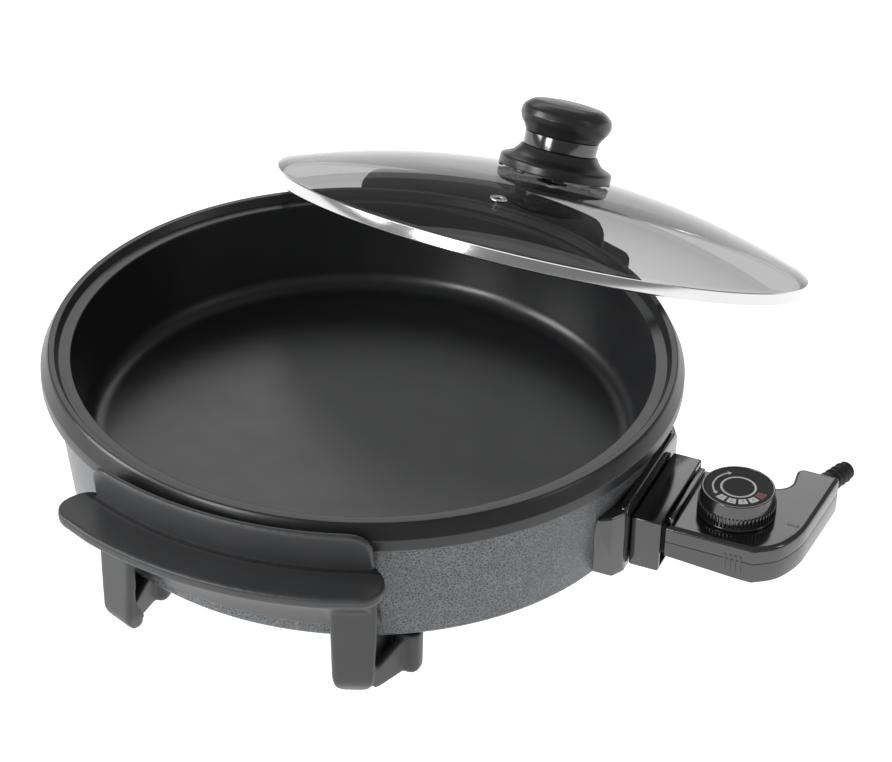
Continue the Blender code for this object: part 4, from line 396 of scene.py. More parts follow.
# %% [markdown]
# ## Round pieces
#
# Most of this object is turned. A turned piece is a closed outline of (radius, height) points
# spun round an axis. Real edges are never sharp, and a small radius is what catches the light,
# so each corner of an outline states its own radius and `softened` draws the arc. Blender's
# Spin would do as well, but writing the rings directly leaves clean poles and no seam.

# %%
ALMOST_STRAIGHT = math.radians(89)
LARGE_ROUND, KNOB_ROUND = 256, 128


def softened(corners, step_degrees=15):
    """Points of a closed outline whose (x, y, radius) corners become arcs."""
    points = []
    for index, (x, y, radius) in enumerate(corners):
        here = Vector((x, y))
        before = Vector(corners[index - 1][:2]) - here
        after = Vector(corners[(index + 1) % len(corners)][:2]) - here
        point = not radius or min(before.length, after.length) < 1e-9
        half = 0 if point else before.angle(after) / 2
        if point or half > ALMOST_STRAIGHT:
            points.append(here)
            continue
        reach = min(radius / math.tan(half), 0.49 * before.length, 0.49 * after.length)
        radius = reach * math.tan(half)
        middle = (before.normalized() + after.normalized()).normalized()
        centre = here + middle * (radius / math.sin(half))
        first = here + before.normalized() * reach - centre
        last = here + after.normalized() * reach - centre
        sweep = first.angle_signed(last)
        steps = max(2, round(abs(math.degrees(sweep)) / step_degrees))
        for step in range(steps + 1):
            points.append(centre + Matrix.Rotation(-sweep * step / steps, 2) @ first)
    return points


def lathe(outline, sides, place):
    """A mesh turned from a closed outline of (radius, height) points, in its place."""
    rings = []
    made = bmesh.new()
    for radius, height in outline:
        angles = [2 * math.pi * k / sides for k in range(sides if radius > 1e-7 else 1)]
        spots = [(radius * math.cos(a), radius * math.sin(a), height) for a in angles]
        rings.append([made.verts.new(spot) for spot in spots])
    for upper, lower in zip(rings, rings[1:] + rings[:1]):
        if len(upper) == 1 and len(lower) == 1:
            continue
        for k in range(sides):
            after = (k + 1) % sides
            corners = [upper[k % len(upper)], lower[k % len(lower)]]
            if len(lower) > 1:
                corners.append(lower[after])
            if len(upper) > 1:
                corners.append(upper[after])
            made.faces.new(corners)
    return settled(made, place)


def plug(low, high, sides, place):
    """A plain round plug or cone between two (radius, height) corners in millimetres."""
    return lathe(mm((0, low[1]), low, high, (0, high[1])), sides, place)


def as_mesh(made, name="piece"):
    """A plain mesh from a bmesh, which is used up."""
    mesh = bpy.data.meshes.new(name)
    made.to_mesh(mesh)
    made.free()
    return mesh


def shaded(mesh, degrees=32):
    """The mesh with smooth shading, kept sharp where faces meet at more than the angle."""
    mesh.shade_smooth()
    mesh.set_sharp_from_angle(angle=math.radians(degrees))
    return mesh


def settled(made, place):
    """The bmesh as a mesh in its place, with its faces pointing outwards."""
    bmesh.ops.remove_doubles(made, verts=made.verts, dist=1e-7)
    bmesh.ops.recalc_face_normals(made, faces=made.faces)
    mesh = as_mesh(made)
    mesh.transform(place)
    return shaded(mesh)


def put(name, mesh, finish, body, slot, *stands_for):
    """Places a finished mesh as a piece that moves with its body and stands for its solids."""
    piece = linked(name, mesh)
    mesh.name = name
    mesh.materials.clear()
    mesh.materials.append(finish)
    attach(piece, body)
    if stands_for:
        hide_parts(*stands_for)
    return piece


print("lathe ready")

# %% [markdown]
# ## The bowl and its collar
#
# The bowl is one casting. Its collar rises to a narrow rim with a step inside for the lid,
# slopes out over the shoulder and hangs down outside the jacket as a skirt. Seen from above,
# the rim, the step and the shoulder are the fine concentric lines of the photograph, so every
# one of them has its own radius.

# %%
RIM, SEAT, SKIRT, FLOOR = 128.6, 123.6, 111.1, 61.5
COLLAR_RADIUS = 210
bowl_outline = mm(
    (0, FLOOR, 0), (181, FLOOR, 13), (190.4, SEAT, 1.2), (198.3, SEAT, 0.8),
    (200.8, RIM, 1), (204.7, RIM, 1.2), (205.8, RIM - 1.6, 1),
    (COLLAR_RADIUS, RIM - 9.6, 2.4), (COLLAR_RADIUS, SKIRT, 0.8),
    (207.8, SKIRT, 0.8), (207.8, RIM - 9.6, 1.5), (204, RIM - 7, 1.5),
    (198, RIM - 8.4, 3), (193, RIM - 11, 3),
    (183.6, FLOOR - 4, 15), (0, FLOOR - 4, 0),
)
bowl_mesh = lathe(softened(bowl_outline, 9), LARGE_ROUND, PAN)
bowl = put("cast_bowl", bowl_mesh, NONSTICK, "pan", "black_coating", "pan_bowl")
print("bowl faces", len(bowl.data.polygons))

# %% [markdown]
# ## The hammered jacket
#
# A thin pressed wall hangs below the skirt and turns in under the base. It leaves a slot for
# the heater's terminals. The slot is cut with a Boolean, which is the plain way to open a
# window in a turned wall.

# %%
def block(low, high, bevel=0, segments=3):
    """A box with rounded edges, in the pan's own coordinates."""
    made = bmesh.new()
    bmesh.ops.create_cube(made, size=1)
    low, high = Vector(low), Vector(high)
    bmesh.ops.scale(made, vec=high - low, verts=made.verts)
    bmesh.ops.translate(made, vec=(high + low) / 2, verts=made.verts)
    if bevel:
        bmesh.ops.bevel(
            made, geom=made.edges[:], offset=bevel, segments=segments, profile=0.5, affect="EDGES"
        )
    return settled(made, PAN)


def evaluated(item, *others):
    """A plain mesh of the object as its modifiers leave it. All the objects are used up."""
    bpy.context.view_layer.update()
    graph = bpy.context.evaluated_depsgraph_get()
    mesh = bpy.data.meshes.new_from_object(item.evaluated_get(graph))
    for used in (item, *others):
        bpy.data.objects.remove(used)
    return mesh


def carved(mesh, *cutters, operation="DIFFERENCE"):
    """The mesh after Booleans with the cutter meshes."""
    target = linked("carving", mesh)
    tools = [linked("cutter", cutter) for cutter in cutters]
    for tool in tools:
        step = target.modifiers.new("cut", "BOOLEAN")
        step.operation = operation
        step.solver = "EXACT"
        step.object = tool
    return shaded(evaluated(target, *tools))


jacket_outline = mm(
    (203, 116.5, 0.3), (192.5, 35.2, 4.5), (188, 31.7, 3), (140, 31.7, 0.2),
    (140, 32.7, 0.2), (187.4, 32.7, 2), (191.5, 35.8, 3.5), (202, 116.5, 0.3),
)
jacket_mesh = carved(
    lathe(softened(jacket_outline, 12), LARGE_ROUND, PAN),
    block(*mm((170, -23.5, 47.5), (206, 23.5, 67.5))),
)
jacket = put("hammered_jacket", jacket_mesh, HAMMERED, "pan", "hammered_paint", "outer_jacket")
print("jacket faces", len(jacket.data.polygons))

# %% [markdown]
# ## Prisms with soft edges
#
# The moulded pieces are not round. Each is an outline seen from one side, stacked level by
# level, and drawn in a little at the first and last levels so that those edges are round. The
# outline's own corners carry their radii along, so that nothing crosses where it is drawn in.

# %%
def inset(corners, distance):
    """The corners moved inwards, each radius changed so that the arcs stay parallel."""
    moved = []
    for index, (x, y, radius) in enumerate(corners):
        here = Vector((x, y))
        before = (here - Vector(corners[index - 1][:2])).normalized()
        after = (Vector(corners[(index + 1) % len(corners)][:2]) - here).normalized()
        first = Vector((-before.y, before.x))
        second = Vector((-after.y, after.x))
        place = here + (first + second) * (distance / (1 + first.dot(second)))
        if radius:
            hollow = before.cross(after) < 0
            radius = max(radius + distance if hollow else radius - distance, 0.03 * MM)
        moved.append((place.x, place.y, radius))
    return moved


def skinned(loops, place, closed=False):
    """A solid from loops of points joined in turn, with a cap at each end unless closed."""
    made = bmesh.new()
    rings = [[made.verts.new(point) for point in loop] for loop in loops]
    for lower, upper in zip(rings, rings[1:] + rings[:1] if closed else rings[1:]):
        for i in range(len(lower)):
            j = (i + 1) % len(lower)
            made.faces.new((lower[i], lower[j], upper[j], upper[i]))
    if not closed:
        made.faces.new(list(reversed(rings[0])))
        made.faces.new(rings[-1])
    return settled(made, place)


def layered(corners, levels, axes=Matrix.Identity(4)):
    """A solid from one anticlockwise outline at several levels, each (height, inset)."""
    outlines = [(softened(inset(corners, distance), 7.5), height) for height, distance in levels]
    loops = [[(*point, height) for point in points] for points, height in outlines]
    return skinned(loops, PAN @ axes)


def rounded(low, high, low_edge, high_edge, steps=6):
    """Levels between two heights whose edges are quarter rounds. All in millimetres."""
    arcs = [math.pi / 2 * step / steps for step in range(steps + 1)]
    foot = [(low + low_edge * (1 - math.cos(a)), low_edge * (1 - math.sin(a))) for a in arcs]
    head = [(high - high_edge * (1 - math.sin(a)), high_edge * (1 - math.cos(a))) for a in arcs]
    return mm(*foot, *head)


def mirrored(*rows):
    """An outline with equal sides, from the rows of its right side upwards in millimetres."""
    left = [(-x, y, radius) for x, y, radius in rows]
    return mm(left[0], *rows, *left[:0:-1])


print("prism helpers ready")

# %% [markdown]
# ## The handles
#
# Each handle is one heavy moulding: a plate behind the collar, a ledge to hold, an apron, two
# legs whose toes curve under, and rear feet on webs. The forms are simple, but a mould leaves a
# soft fillet in each of their joints. So they are only laid into each other. A voxel remesh
# makes one skin round them all, and a little smoothing then rounds every edge and fills every
# joint, where bevels would fail at the many small joints.

# %%
VOXEL, QUICK_VOXEL = 1.15, 2.5
LEDGE_RADIUS, LEDGE_LOW, LEDGE_TOP, LEDGE_HALF = 247.5, 94.5, 103, 27.5
PLATE_TOP, NEAR_PLATE_TURN = 133.5, 0.8
LEG_TURN, LEG_FACE, FOOT_Y = 22.8, 212.4, -152
ELEVATION = Matrix(((1, 0, 0, 0), (0, 0, -1, 0), (0, 1, 0, 0), (0, 0, 0, 1)))
SIDE_ON = Matrix(((0, 0, 1, 0), (1, 0, 0, 0), (0, 1, 0, 0), (0, 0, 0, 1)))


def merged(*meshes):
    made = bmesh.new()
    for mesh in meshes:
        made.from_mesh(mesh)
    return as_mesh(made, "merged")


def common(mesh, outline, low, high, axes):
    """What a mesh has in common with an outline stacked between two levels in millimetres."""
    cutter = layered(outline, mm((low, 0), (high, 0)), axes)
    return carved(mesh, cutter, operation="INTERSECT")


def ledge_form(turn):
    """The grip ledge: a sector whose ends are rounded like the tip of an oar."""
    corners = []
    for radius, side, spread, soft in ((LEDGE_RADIUS, 1, 18.6, 18), (212, -1, 18.8, 15)):
        arc = [(step, 0) for step in np.linspace(-spread, spread, 23)]
        for step, edge in ((-LEDGE_HALF, soft), *arc, (LEDGE_HALF, soft)):
            angle = math.radians(-90 + side * step)
            corners.append((radius * math.cos(angle), radius * math.sin(angle), edge))
    return layered(mm(*corners), rounded(LEDGE_LOW, LEDGE_TOP, 3, 1), turn)


def plate_form(turn):
    """The upright plate: a leaning wall turned round the pan, cut to a window's outline."""
    outline = mm(
        (PLATE_TOP_RADIUS, PLATE_TOP, 1.6), (219, LEDGE_TOP, 0), (219, 97, 0),
        (214.3, 97, 0), (214.3, LEDGE_TOP, 0), (221.3, PLATE_TOP, 1.6),
    )
    window = mirrored((92.5, 90, 0.1), (92.5, PLATE_TOP, 13))
    return common(lathe(softened(outline), 512, PAN), window, 150, 262, turn @ ELEVATION)


def apron_form(turn):
    """The curved wall that hangs from the ledge and draws in towards the jacket."""
    outer, inner = [], []
    for step in range(13):
        share = step / 12
        sag = 3 * math.sin(math.pi * share)
        radius = 244 - 45.5 * share - sag
        height = LEDGE_LOW - 48 * share + sag
        outer.append((radius, height))
        inner.append((max(radius - 5.5, 195.8), height))
    outline = mm((238.5, 97), (244, 97), *outer, *reversed(inner))
    window = mirrored((92, -250, 0.1), (92, -120, 0.1))
    return common(lathe(outline, 512, PAN), window, 40, 99, turn)


def leg_forms(turn):
    """The two legs: an upright board with soft edges and a toe that curves under."""
    board = mirrored((9, 0, 8), (13, 15, 12), (14.4, 52, 20), (14.4, 97, 0.5))
    profile = mm(
        (-205.6, 96.9, 0.3), (-205.6, 27, 5), (-198.5, 14, 3), (-198.5, 0.1, 2),
        (-203, 0.1, 8), (-LEG_FACE, 11, 14), (-LEG_FACE, 26, 9),
        (-LEG_FACE - 2, 30, 3), (-LEG_FACE - 2, 96.9, 0.3),
    )
    forms = []
    for side in (-1, 1):
        place = turn @ turned(side * LEG_TURN)
        upright = layered(board, rounded(198, LEG_FACE, 0.4, 2.6), place @ ELEVATION)
        forms.append(common(upright, profile, -16, 16, place @ SIDE_ON))
    return forms


def web_form(root, tip, height, turn):
    """A web that slopes from its height at the leg down to a foot."""
    root = Vector(root)
    run = Vector(tip) - root
    along, length, up = run.normalized(), run.length, Vector((0, 0, 1))
    axes = Matrix((along, up, along.cross(up))).transposed().to_4x4()
    axes.translation = root * MM
    outline = mm(
        (0, 16, 0.5), (6.5, 3.5, 3), (length, 2.5, 0.5), (length, 30.5, 0.5),
        (0, height, 0.5),
    )
    return layered(outline, rounded(-2.9, 2.9, 0.4, 0.4, 3), turn @ axes)


def foot_forms(turn):
    """The rear feet and the webs that tie them to the legs. The inner foot has a well."""
    forms = []
    lean = math.radians(LEG_TURN)
    inner_x = LEG_FACE * math.sin(lean) - 7.1
    for side in (-1, 1):
        for kind, further, inwards, height in (
            ("inner foot", 0, 0, 17),
            ("outer foot", 25, 12, 17),
            ("middle web", 12.5, 6, 40),
        ):
            x = side * (inner_x + further)
            if kind != "middle web":
                ends = ((-1, -1), (1, -1), (1, 1), (-1, 1))
                corners = mm(*[(x + i * 9, FOOT_Y + j * 7.5, 6) for i, j in ends])
                foot = layered(corners, rounded(0, 31.2, 5.4, 0.8), turn)
                if kind == "inner foot":
                    middle = PAN @ turn @ shifted(x, FOOT_Y, 0)
                    foot = carved(foot, plug((4.6, -1), (4.6, 6), 48, middle))
                forms.append(foot)
            root_x = inner_x + further - inwards
            root_y = (root_x * math.sin(lean) - LEG_FACE + 4) / math.cos(lean)
            forms.append(web_form((side * root_x, root_y, 0), (x, FOOT_Y, 0), height, turn))
    return forms


def melted(forms, voxel, rounds):
    """One skin round forms that lie into each other, with every edge and joint rounded."""
    item = linked("melted", merged(*forms))
    remesh = item.modifiers.new("remesh", "REMESH")
    remesh.mode = "VOXEL"
    remesh.voxel_size = voxel * MM
    smooth = item.modifiers.new("smooth", "SMOOTH")
    smooth.factor = 0.5
    smooth.iterations = rounds
    result = evaluated(item)
    result.shade_smooth()
    return result


print("handle forms ready")

# %% [markdown]
# The handles' finish is satin. It carries a fine dark parting line round the ledge. Painted
# shade darkens the crease at the foot of the plate, where the roughness also rises, and painted
# shade darkens the apron between the legs, where hardly any light gets in.

# %%
def handle_finish():
    finish = Finish("handle_moulding", (0.036, 0.037, 0.039), 0.42)

    def past(length, low, high):
        return finish.step(length, low * MM, high * MM)

    x, y, z = finish.position()
    cloud = finish.noise(16)
    around = ((x - PAN_X) ** 2 + (y - PAN_Y) ** 2) ** 0.5
    off_line = z.math("ABSOLUTE", z - 101 * MM, 0)
    parting = (1 - past(off_line, 0.12, 0.4)) * past(around, 221, 222)
    # Painted shade: the crease at the foot of the plate is darkened in colour.
    foot = (1 - past(z, 104.6, 106.2)) * (1 - past(around, 220.6, 221.8))
    foot = foot * past(z, 101, 102)
    # Painted shade: the apron between the legs is darkened below the ledge.
    between_legs = 1 - past(z.math("ABSOLUTE", x - PAN_X, 0), 64, 68)
    below = between_legs * (1 - past(z, 86, 95)) * 0.85
    parting_and_painted_shade = z.math("MAXIMUM", z.math("MAXIMUM", parting, foot), below)
    plain = finish.blend(cloud, (0.034, 0.035, 0.037), (0.043, 0.044, 0.046))
    # The real dark parting line and the two painted shades all pull the colour towards near
    # black.
    finish.feed("Base Color", finish.blend(parting_and_painted_shade * 0.85, plain, (0.003, 0.003, 0.003)))
    finish.feed("Roughness", 0.4 + 0.08 * cloud + 0.5 * foot)
    finish.bump(finish.noise(0.4), 0.02)
    return finish.material


HANDLE_BLACK = handle_finish()
for name, degrees, plate_turn in (("near", 0, NEAR_PLATE_TURN), ("far", 180, 0)):
    turn = turned(degrees)
    forms = [ledge_form(turn), plate_form(turn @ turned(plate_turn)), apron_form(turn)]
    forms += leg_forms(turn) + foot_forms(turn)
    voxel = VOXEL
    mesh = melted(forms, voxel, 8)
    solid = f"handle_{name}"
    put(f"moulded_{solid}", mesh, HANDLE_BLACK, "pan", "black_moulding", solid)
    print(name, "handle faces", len(mesh.polygons))

# %% [markdown]
# ## The socket on the pan
#
# The glossy bracket wraps the jacket below the collar. Its front is a flat plate with a ridge
# above, and a wing falls back at each side with a soft corner. A second outline, seen from the
# front, narrows the wings towards the bottom. Then the jacket's own cone is cut from the back
# so that the bracket sits on the wall.

# %%
wing = mm(
    (170, -62.5, 0.1), (191, -62.5, 2), (197.2, -58.6, 5), (203.1, -48.5, 5),
    (203.1, 48.5, 5), (197.2, 58.6, 5), (191, 62.5, 2), (170, 62.5, 0.1),
)
tapered = mirrored((52.5, 30, 0.3), (63, 74, 9), (63, 90, 0.3))
ridge = mirrored((47.5, 37, 0.3), (47.5, 88, 7))
wings = layered(wing, rounded(35.8, 83.5, 3.4, 2.4))
bracket_mesh = common(wings, tapered, 165, 210, SIDE_ON)
ridge_mesh = layered(ridge, rounded(198.4, 203.3, 0.8, 1.2, 4), SIDE_ON)
bracket_mesh = carved(bracket_mesh, ridge_mesh, operation="UNION")
bracket_mesh = carved(
    bracket_mesh,
    plug((192.5, 34), (203.4, 117), LARGE_ROUND, PAN),
    block(*mm((160, -30, 44.5), (210, 30, 71.5))),
)
put("gloss_bracket", bracket_mesh, GLOSS_BLACK, "pan", "black_gloss", "socket_bracket")

shroud_mesh = carved(
    block(*mm((203.8, -40, 38), (223.5, 40, 75)), 1.3 * MM, 4),
    block(*mm((200, -37.4, 40.6), (228, 37.4, 72.4)), 0.6 * MM),
)
put("gloss_shroud", shroud_mesh, GLOSS_BLACK, "pan", "black_gloss", "socket_shroud")
print("socket done")

# %% [markdown]
# ## The thermostat's case
#
# Seen from above the case is broad at the socket, then sweeps round into an arm for the cord.
# It is two shells that meet in a fine parting line. Both come from one outline: the upper one
# has a large soft edge at its top, which carries the long highlight, and the lower one slopes
# up towards the socket. Four short bars on the near side give the fingers a hold.

# %%
CASE_TOP, CASE_PART, CASE_LOW, PARTING_GROOVE = 71, 59.5, 45, 0.35
case_corners = mm(
    (225, -36, 1), (284, -36, 3), (297.5, -26.5, 40), (306.3, -6, 90),
    (310, 64.5, 3), (281.2, 64.5, 5), (284.6, 36, 12), (225, 36, 1),
)


def sloping(lift):
    """A wedge below the case's slanted floor."""
    slope = 4 / 59
    rim = ((221, -42), (288, -42), (288, 42), (221, 42))
    floor = mm(*[(x, y, 36) for x, y in rim])
    roof = mm(*[(x, y, CASE_LOW + lift + slope * (284 - x)) for x, y in rim])
    return skinned([floor, roof], PAN)


inner_case = inset(case_corners, 2.2 * MM)
mouth = block(*mm((221, -24.3, 51.6), (228.2, 24.3, 68.4)))
upper = carved(
    layered(case_corners, rounded(CASE_PART + 0.1, CASE_TOP, PARTING_GROOVE, 3.4, 8)),
    layered(inner_case, mm((40, 0), (CASE_TOP - 2.4, 1.4))),
    mouth.copy(),
)
upper_lip = block(*mm((225, -31, 69), (229, 31, 75)), 0.9 * MM, 3)
upper = carved(upper, upper_lip, operation="UNION")
lens_low, lens_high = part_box("pilot_lens")
pocket_low = lens_low - PAN.translation - Vector((0.3, 0.3, 0.3)) * MM
pocket_high = lens_high - PAN.translation + Vector((0.3, 0.3, 4)) * MM
upper = carved(upper, block(pocket_low, pocket_high))
put("case_upper", upper, GLOSS_BLACK, "thermostat", "black_gloss", "thermostat_upper_case")

wells = [
    plug((2.9, 40), (2.9, 58), 32, PAN @ shifted(x, y, 0))
    for x, y in ((244, -27), (244, 27), (299, 34.5))
]
lower = carved(
    layered(case_corners, rounded(CASE_LOW, CASE_PART - 0.1, 1.2, PARTING_GROOVE, 5)),
    sloping(0),
    carved(layered(inner_case, mm((47.2, 0), (80, 0))), sloping(2.2)),
    mouth,
    *wells,
)
put("case_lower", lower, GLOSS_BLACK, "thermostat", "black_gloss", "thermostat_lower_case")
bars = [
    block(*mm((x, -36.5, 50.2), (x + 1.7, -35.2, 63.2)), 0.45 * MM, 2)
    for x in (264.6, 268, 271.4, 274.8)
]
put("case_grip_bars", merged(*bars), GLOSS_BLACK, "thermostat", "black_gloss")
print("case done")

# %% [markdown]
# ## Ribs and pads, with Geometry Nodes
#
# Grip ribs and pads repeat one small shape. Geometry Nodes does this well: one tree takes a
# shape, a count and a radius, sets copies round a circle and faces them outwards. The tree
# ends in Realize Instances and Set Material, and the result is turned into a plain mesh. The
# same tree serves the dial and the knob.

# %%
def ring_tree():
    tree = bpy.data.node_groups.new("copies_round_a_ring", "GeometryNodeTree")
    for name, kind in (
        ("Shape", "Object"), ("Count", "Int"), ("Radius", "Float"), ("Start", "Float"),
        ("Finish", "Material"),
    ):
        tree.interface.new_socket(name, in_out="INPUT", socket_type=f"NodeSocket{kind}")
    tree.interface.new_socket("Geometry", in_out="OUTPUT", socket_type="NodeSocketGeometry")
    nodes = {
        name: tree.nodes.new(kind)
        for name, kind in (
            ("given", "NodeGroupInput"), ("shape", "GeometryNodeObjectInfo"),
            ("points", "GeometryNodePoints"), ("index", "GeometryNodeInputIndex"),
            ("share", "ShaderNodeMath"), ("turn", "ShaderNodeMath"),
            ("spin", "ShaderNodeCombineXYZ"), ("arm", "ShaderNodeCombineXYZ"),
            ("rotate", "ShaderNodeVectorRotate"), ("copy", "GeometryNodeInstanceOnPoints"),
            ("real", "GeometryNodeRealizeInstances"), ("paint", "GeometryNodeSetMaterial"),
            ("out", "NodeGroupOutput"),
        )
    }
    nodes["share"].operation = "DIVIDE"
    nodes["turn"].operation = "MULTIPLY_ADD"
    nodes["turn"].inputs[1].default_value = 2 * math.pi
    nodes["rotate"].rotation_type = "Z_AXIS"
    for source, output, target, socket in (
        ("given", "Shape", "shape", "Object"), ("given", "Count", "points", "Count"),
        ("index", 0, "share", 0), ("given", "Count", "share", 1),
        ("share", 0, "turn", 0), ("given", "Start", "turn", 2),
        ("turn", 0, "spin", "Z"), ("given", "Radius", "arm", "X"),
        ("arm", 0, "rotate", "Vector"), ("turn", 0, "rotate", "Angle"),
        ("rotate", 0, "points", "Position"), ("points", 0, "copy", "Points"),
        ("shape", "Geometry", "copy", "Instance"), ("spin", 0, "copy", "Rotation"),
        ("copy", 0, "real", 0), ("real", 0, "paint", "Geometry"),
        ("given", "Finish", "paint", "Material"), ("paint", 0, "out", 0),
    ):
        tree.links.new(nodes[source].outputs[output], nodes[target].inputs[socket])
    return tree


RING = ring_tree()


def copies_round(shape, count, radius, finish, place, start=0.0):
    """A mesh of copies of a small mesh, set round a ring by the tree."""
    pattern = linked("pattern", shape)
    carrier = linked("carrier", bpy.data.meshes.new("carrier"))
    step = carrier.modifiers.new("ring", "NODES")
    step.node_group = RING
    wanted = {"Shape": pattern, "Count": count, "Radius": radius * MM, "Start": start}
    wanted["Finish"] = finish
    for socket in RING.interface.items_tree:
        if socket.in_out == "INPUT":
            step[socket.identifier] = wanted[socket.name]
    result = evaluated(carrier, pattern)
    result.transform(place)
    return shaded(result, 40)


def pebble(low, high, bevel):
    """A small rounded block in its own coordinates, in millimetres."""
    mesh = block(*mm(low, high), bevel * MM, 2)
    mesh.transform(PAN.inverted())
    return mesh


print("ring tree with", len(RING.nodes), "nodes")

# %% [markdown]
# ## The dial
#
# The dial is a short drum, a little wider at its foot, with fine upright grip ribs on its
# lower half and a printed disc in its top. The drum is turned and the ribs are copies round
# its foot.

# %%
DIAL_X, DIAL_LOW, DIAL_TOP = 260.3, 71.4, 89.5
DIAL = PAN @ shifted(DIAL_X, 0, 0)
dial_outline = mm(
    (0, 87.9, 0), (22, 87.9, 0.2), (22, DIAL_TOP, 0.3), (23.4, DIAL_TOP, 0.6),
    (24.1, DIAL_LOW + 8.6, 0.6), (24.1, DIAL_LOW + 2.2, 0.2), (25.2, DIAL_LOW + 1.9, 0.4),
    (25.2, DIAL_LOW, 0.4), (22.6, DIAL_LOW, 0.4), (21, 85.6, 0.8), (6, 85.6, 0.4),
    (6, DIAL_LOW + 0.4, 0.3), (3.4, DIAL_LOW + 0.4, 0.2), (3.4, 85.5, 0.2), (0, 85.5, 0),
)
drum = lathe(softened(dial_outline), KNOB_ROUND, DIAL)
put("dial_drum", drum, DIAL_BLACK, "dial", "black_gloss", "dial_knob")
rib = pebble((-0.7, -0.66, DIAL_LOW + 1.5), (0.8, 0.66, DIAL_LOW + 9.3), 0.45)
ribs = copies_round(rib, 60, 24.3, DIAL_BLACK, DIAL)
put("dial_grip_ribs", ribs, DIAL_BLACK, "dial", "black_gloss")
print("dial drum and ribs")

# %% [markdown]
# **The scale.** The disc carries a white ring, a curved arrow, and a row of white fields that
# ends in a red one. Print has a thickness of almost nothing, so each mark is a plate a
# twentieth of a millimetre proud of the disc, cut from an arc. Numbers from 1 to 4 stand in
# the fields. They are Blender text turned into a mesh.

# %%
PRINT_Z, PRINT_THICKNESS = 89.22, 0.05
ARROW_RADIUS, ARROW_FROM, ARROW_TO = 16.2, 132, 222
FIRST_FIELD, FIELD_STEP, FIELD_WIDTH = -122, 25, 19.5


def print_ink(name, colour):
    finish = Finish(name, colour, 0.45)
    worn = tuple(0.82 * channel for channel in colour)
    finish.feed("Base Color", finish.blend(finish.noise(1.5), colour, worn))
    return finish.material


WHITE_INK = print_ink("white_print", (0.72, 0.72, 0.7))
RED_INK = print_ink("red_print", (0.22, 0.05, 0.045))
GREY_INK = print_ink("grey_print", (0.3, 0.3, 0.3))


def arc_plate(inner, outer, start, end):
    """A flat plate between two radii and two angles in degrees, in the dial's coordinates."""
    steps = max(2, round(abs(end - start) / 4))
    full = abs(end - start) > 359
    top = PRINT_Z + PRINT_THICKNESS
    section = ((inner, PRINT_Z), (outer, PRINT_Z), (outer, top), (inner, top))
    loops = []
    for step in range(steps if full else steps + 1):
        angle = math.radians(start + (end - start) * step / steps)
        x, y = math.cos(angle), math.sin(angle)
        loops.append(mm(*[(x * radius, y * radius, height) for radius, height in section]))
    return skinned(loops, DIAL, closed=full)


def written(words, size, radius, degrees):
    """Text as a thin mesh on the disc, read from outside the ring."""
    curve = bpy.data.curves.new("text", "FONT")
    curve.body = words
    curve.size = size * MM
    curve.align_x = "CENTER"
    curve.align_y = "CENTER"
    curve.extrude = 0.02 * MM
    mesh = evaluated(linked("text", curve))
    place = shifted(0, 0, PRINT_Z + 0.07) @ turned(degrees) @ shifted(radius, 0, 0)
    mesh.transform(DIAL @ place @ turned(90))
    return mesh


def arrow_head(radius, degrees, way):
    """A small pointed plate at the end of the curved arrow."""
    tip, foot = math.radians(degrees + way * 9), math.radians(degrees)
    points = ((radius, tip), (radius + 1.9, foot), (radius - 1.9, foot))
    corners = mm(*[(reach * math.cos(a), reach * math.sin(a), 0) for reach, a in points])
    levels = mm((PRINT_Z, 0), (PRINT_Z + PRINT_THICKNESS, 0))
    mesh = layered(corners if way < 0 else corners[::-1], levels)
    mesh.transform(DIAL @ PAN.inverted())
    return mesh


starts = [FIRST_FIELD + index * FIELD_STEP for index in range(5)]
marks = [
    arc_plate(10.2, 11.6, 0, 360),
    arc_plate(15.6, 16.8, ARROW_FROM, ARROW_TO),
    arrow_head(ARROW_RADIUS, ARROW_TO, 1),
    arrow_head(ARROW_RADIUS, ARROW_FROM, -1),
    *[arc_plate(13.6, 18.8, start, start + FIELD_WIDTH) for start in starts[:4]],
]
put("dial_white_marks", merged(*marks), WHITE_INK, "dial", "dial_print")
red_field = arc_plate(13.2, 19.2, starts[4], starts[4] + FIELD_WIDTH + 1.5)
put("dial_red_mark", red_field, RED_INK, "dial", "dial_print")
numbers = [written(str(i + 1), 4.6, 16.2, starts[i] + FIELD_WIDTH / 2) for i in range(4)]
put("dial_numbers", merged(*numbers), DIAL_BLACK, "dial", "dial_print")
print("dial print done")

# %% [markdown]
# ## The cord boot
#
# The soft sleeve at the end of the arm bends with the cord, so it is ringed with grooves. It
# is a turned tube with a wavy outline, laid over at the arm's angle.

# %%
BOOT_LENGTH, BOOT_RADIUS, BOOT_BORE, BOOT_GROOVES, BOOT_LEAN = 28, 7.4, 3.3, 4, 20


def boot_mesh():
    outline = [(BOOT_BORE, 0), (BOOT_RADIUS, 0)]
    steps = 72
    for step in range(steps + 1):
        share = step / steps
        rings = BOOT_GROOVES * max(0, share - 0.25) / 0.75
        radius = BOOT_RADIUS - 0.5 * share - 1.4 * (0.5 - 0.5 * math.cos(2 * math.pi * rings))
        radius -= 1.2 * (max(0, share - 0.93) / 0.07) ** 2
        outline.append((radius, 0.6 + share * (BOOT_LENGTH - 0.6)))
    outline.append((BOOT_BORE, BOOT_LENGTH))
    start_y = 64.5 + 6.6 * math.sin(math.radians(BOOT_LEAN)) + 0.3
    start = PAN @ shifted(297.5, start_y, 58)
    sleeve = lathe(mm(*outline), 64, start @ turned(90 - BOOT_LEAN) @ turned(90, "Y"))
    neck = mm((0, -11, 0), (5, -11, 0.3), (5, 4, 0.3), (0, 4, 0))
    return merged(sleeve, lathe(softened(neck), 48, start @ turned(-90, "X")))


boot = shaded(boot_mesh(), 40)
put("ringed_cord_boot", boot, RUBBER, "thermostat", "soft_rubber", "cord_boot")
print("boot done")
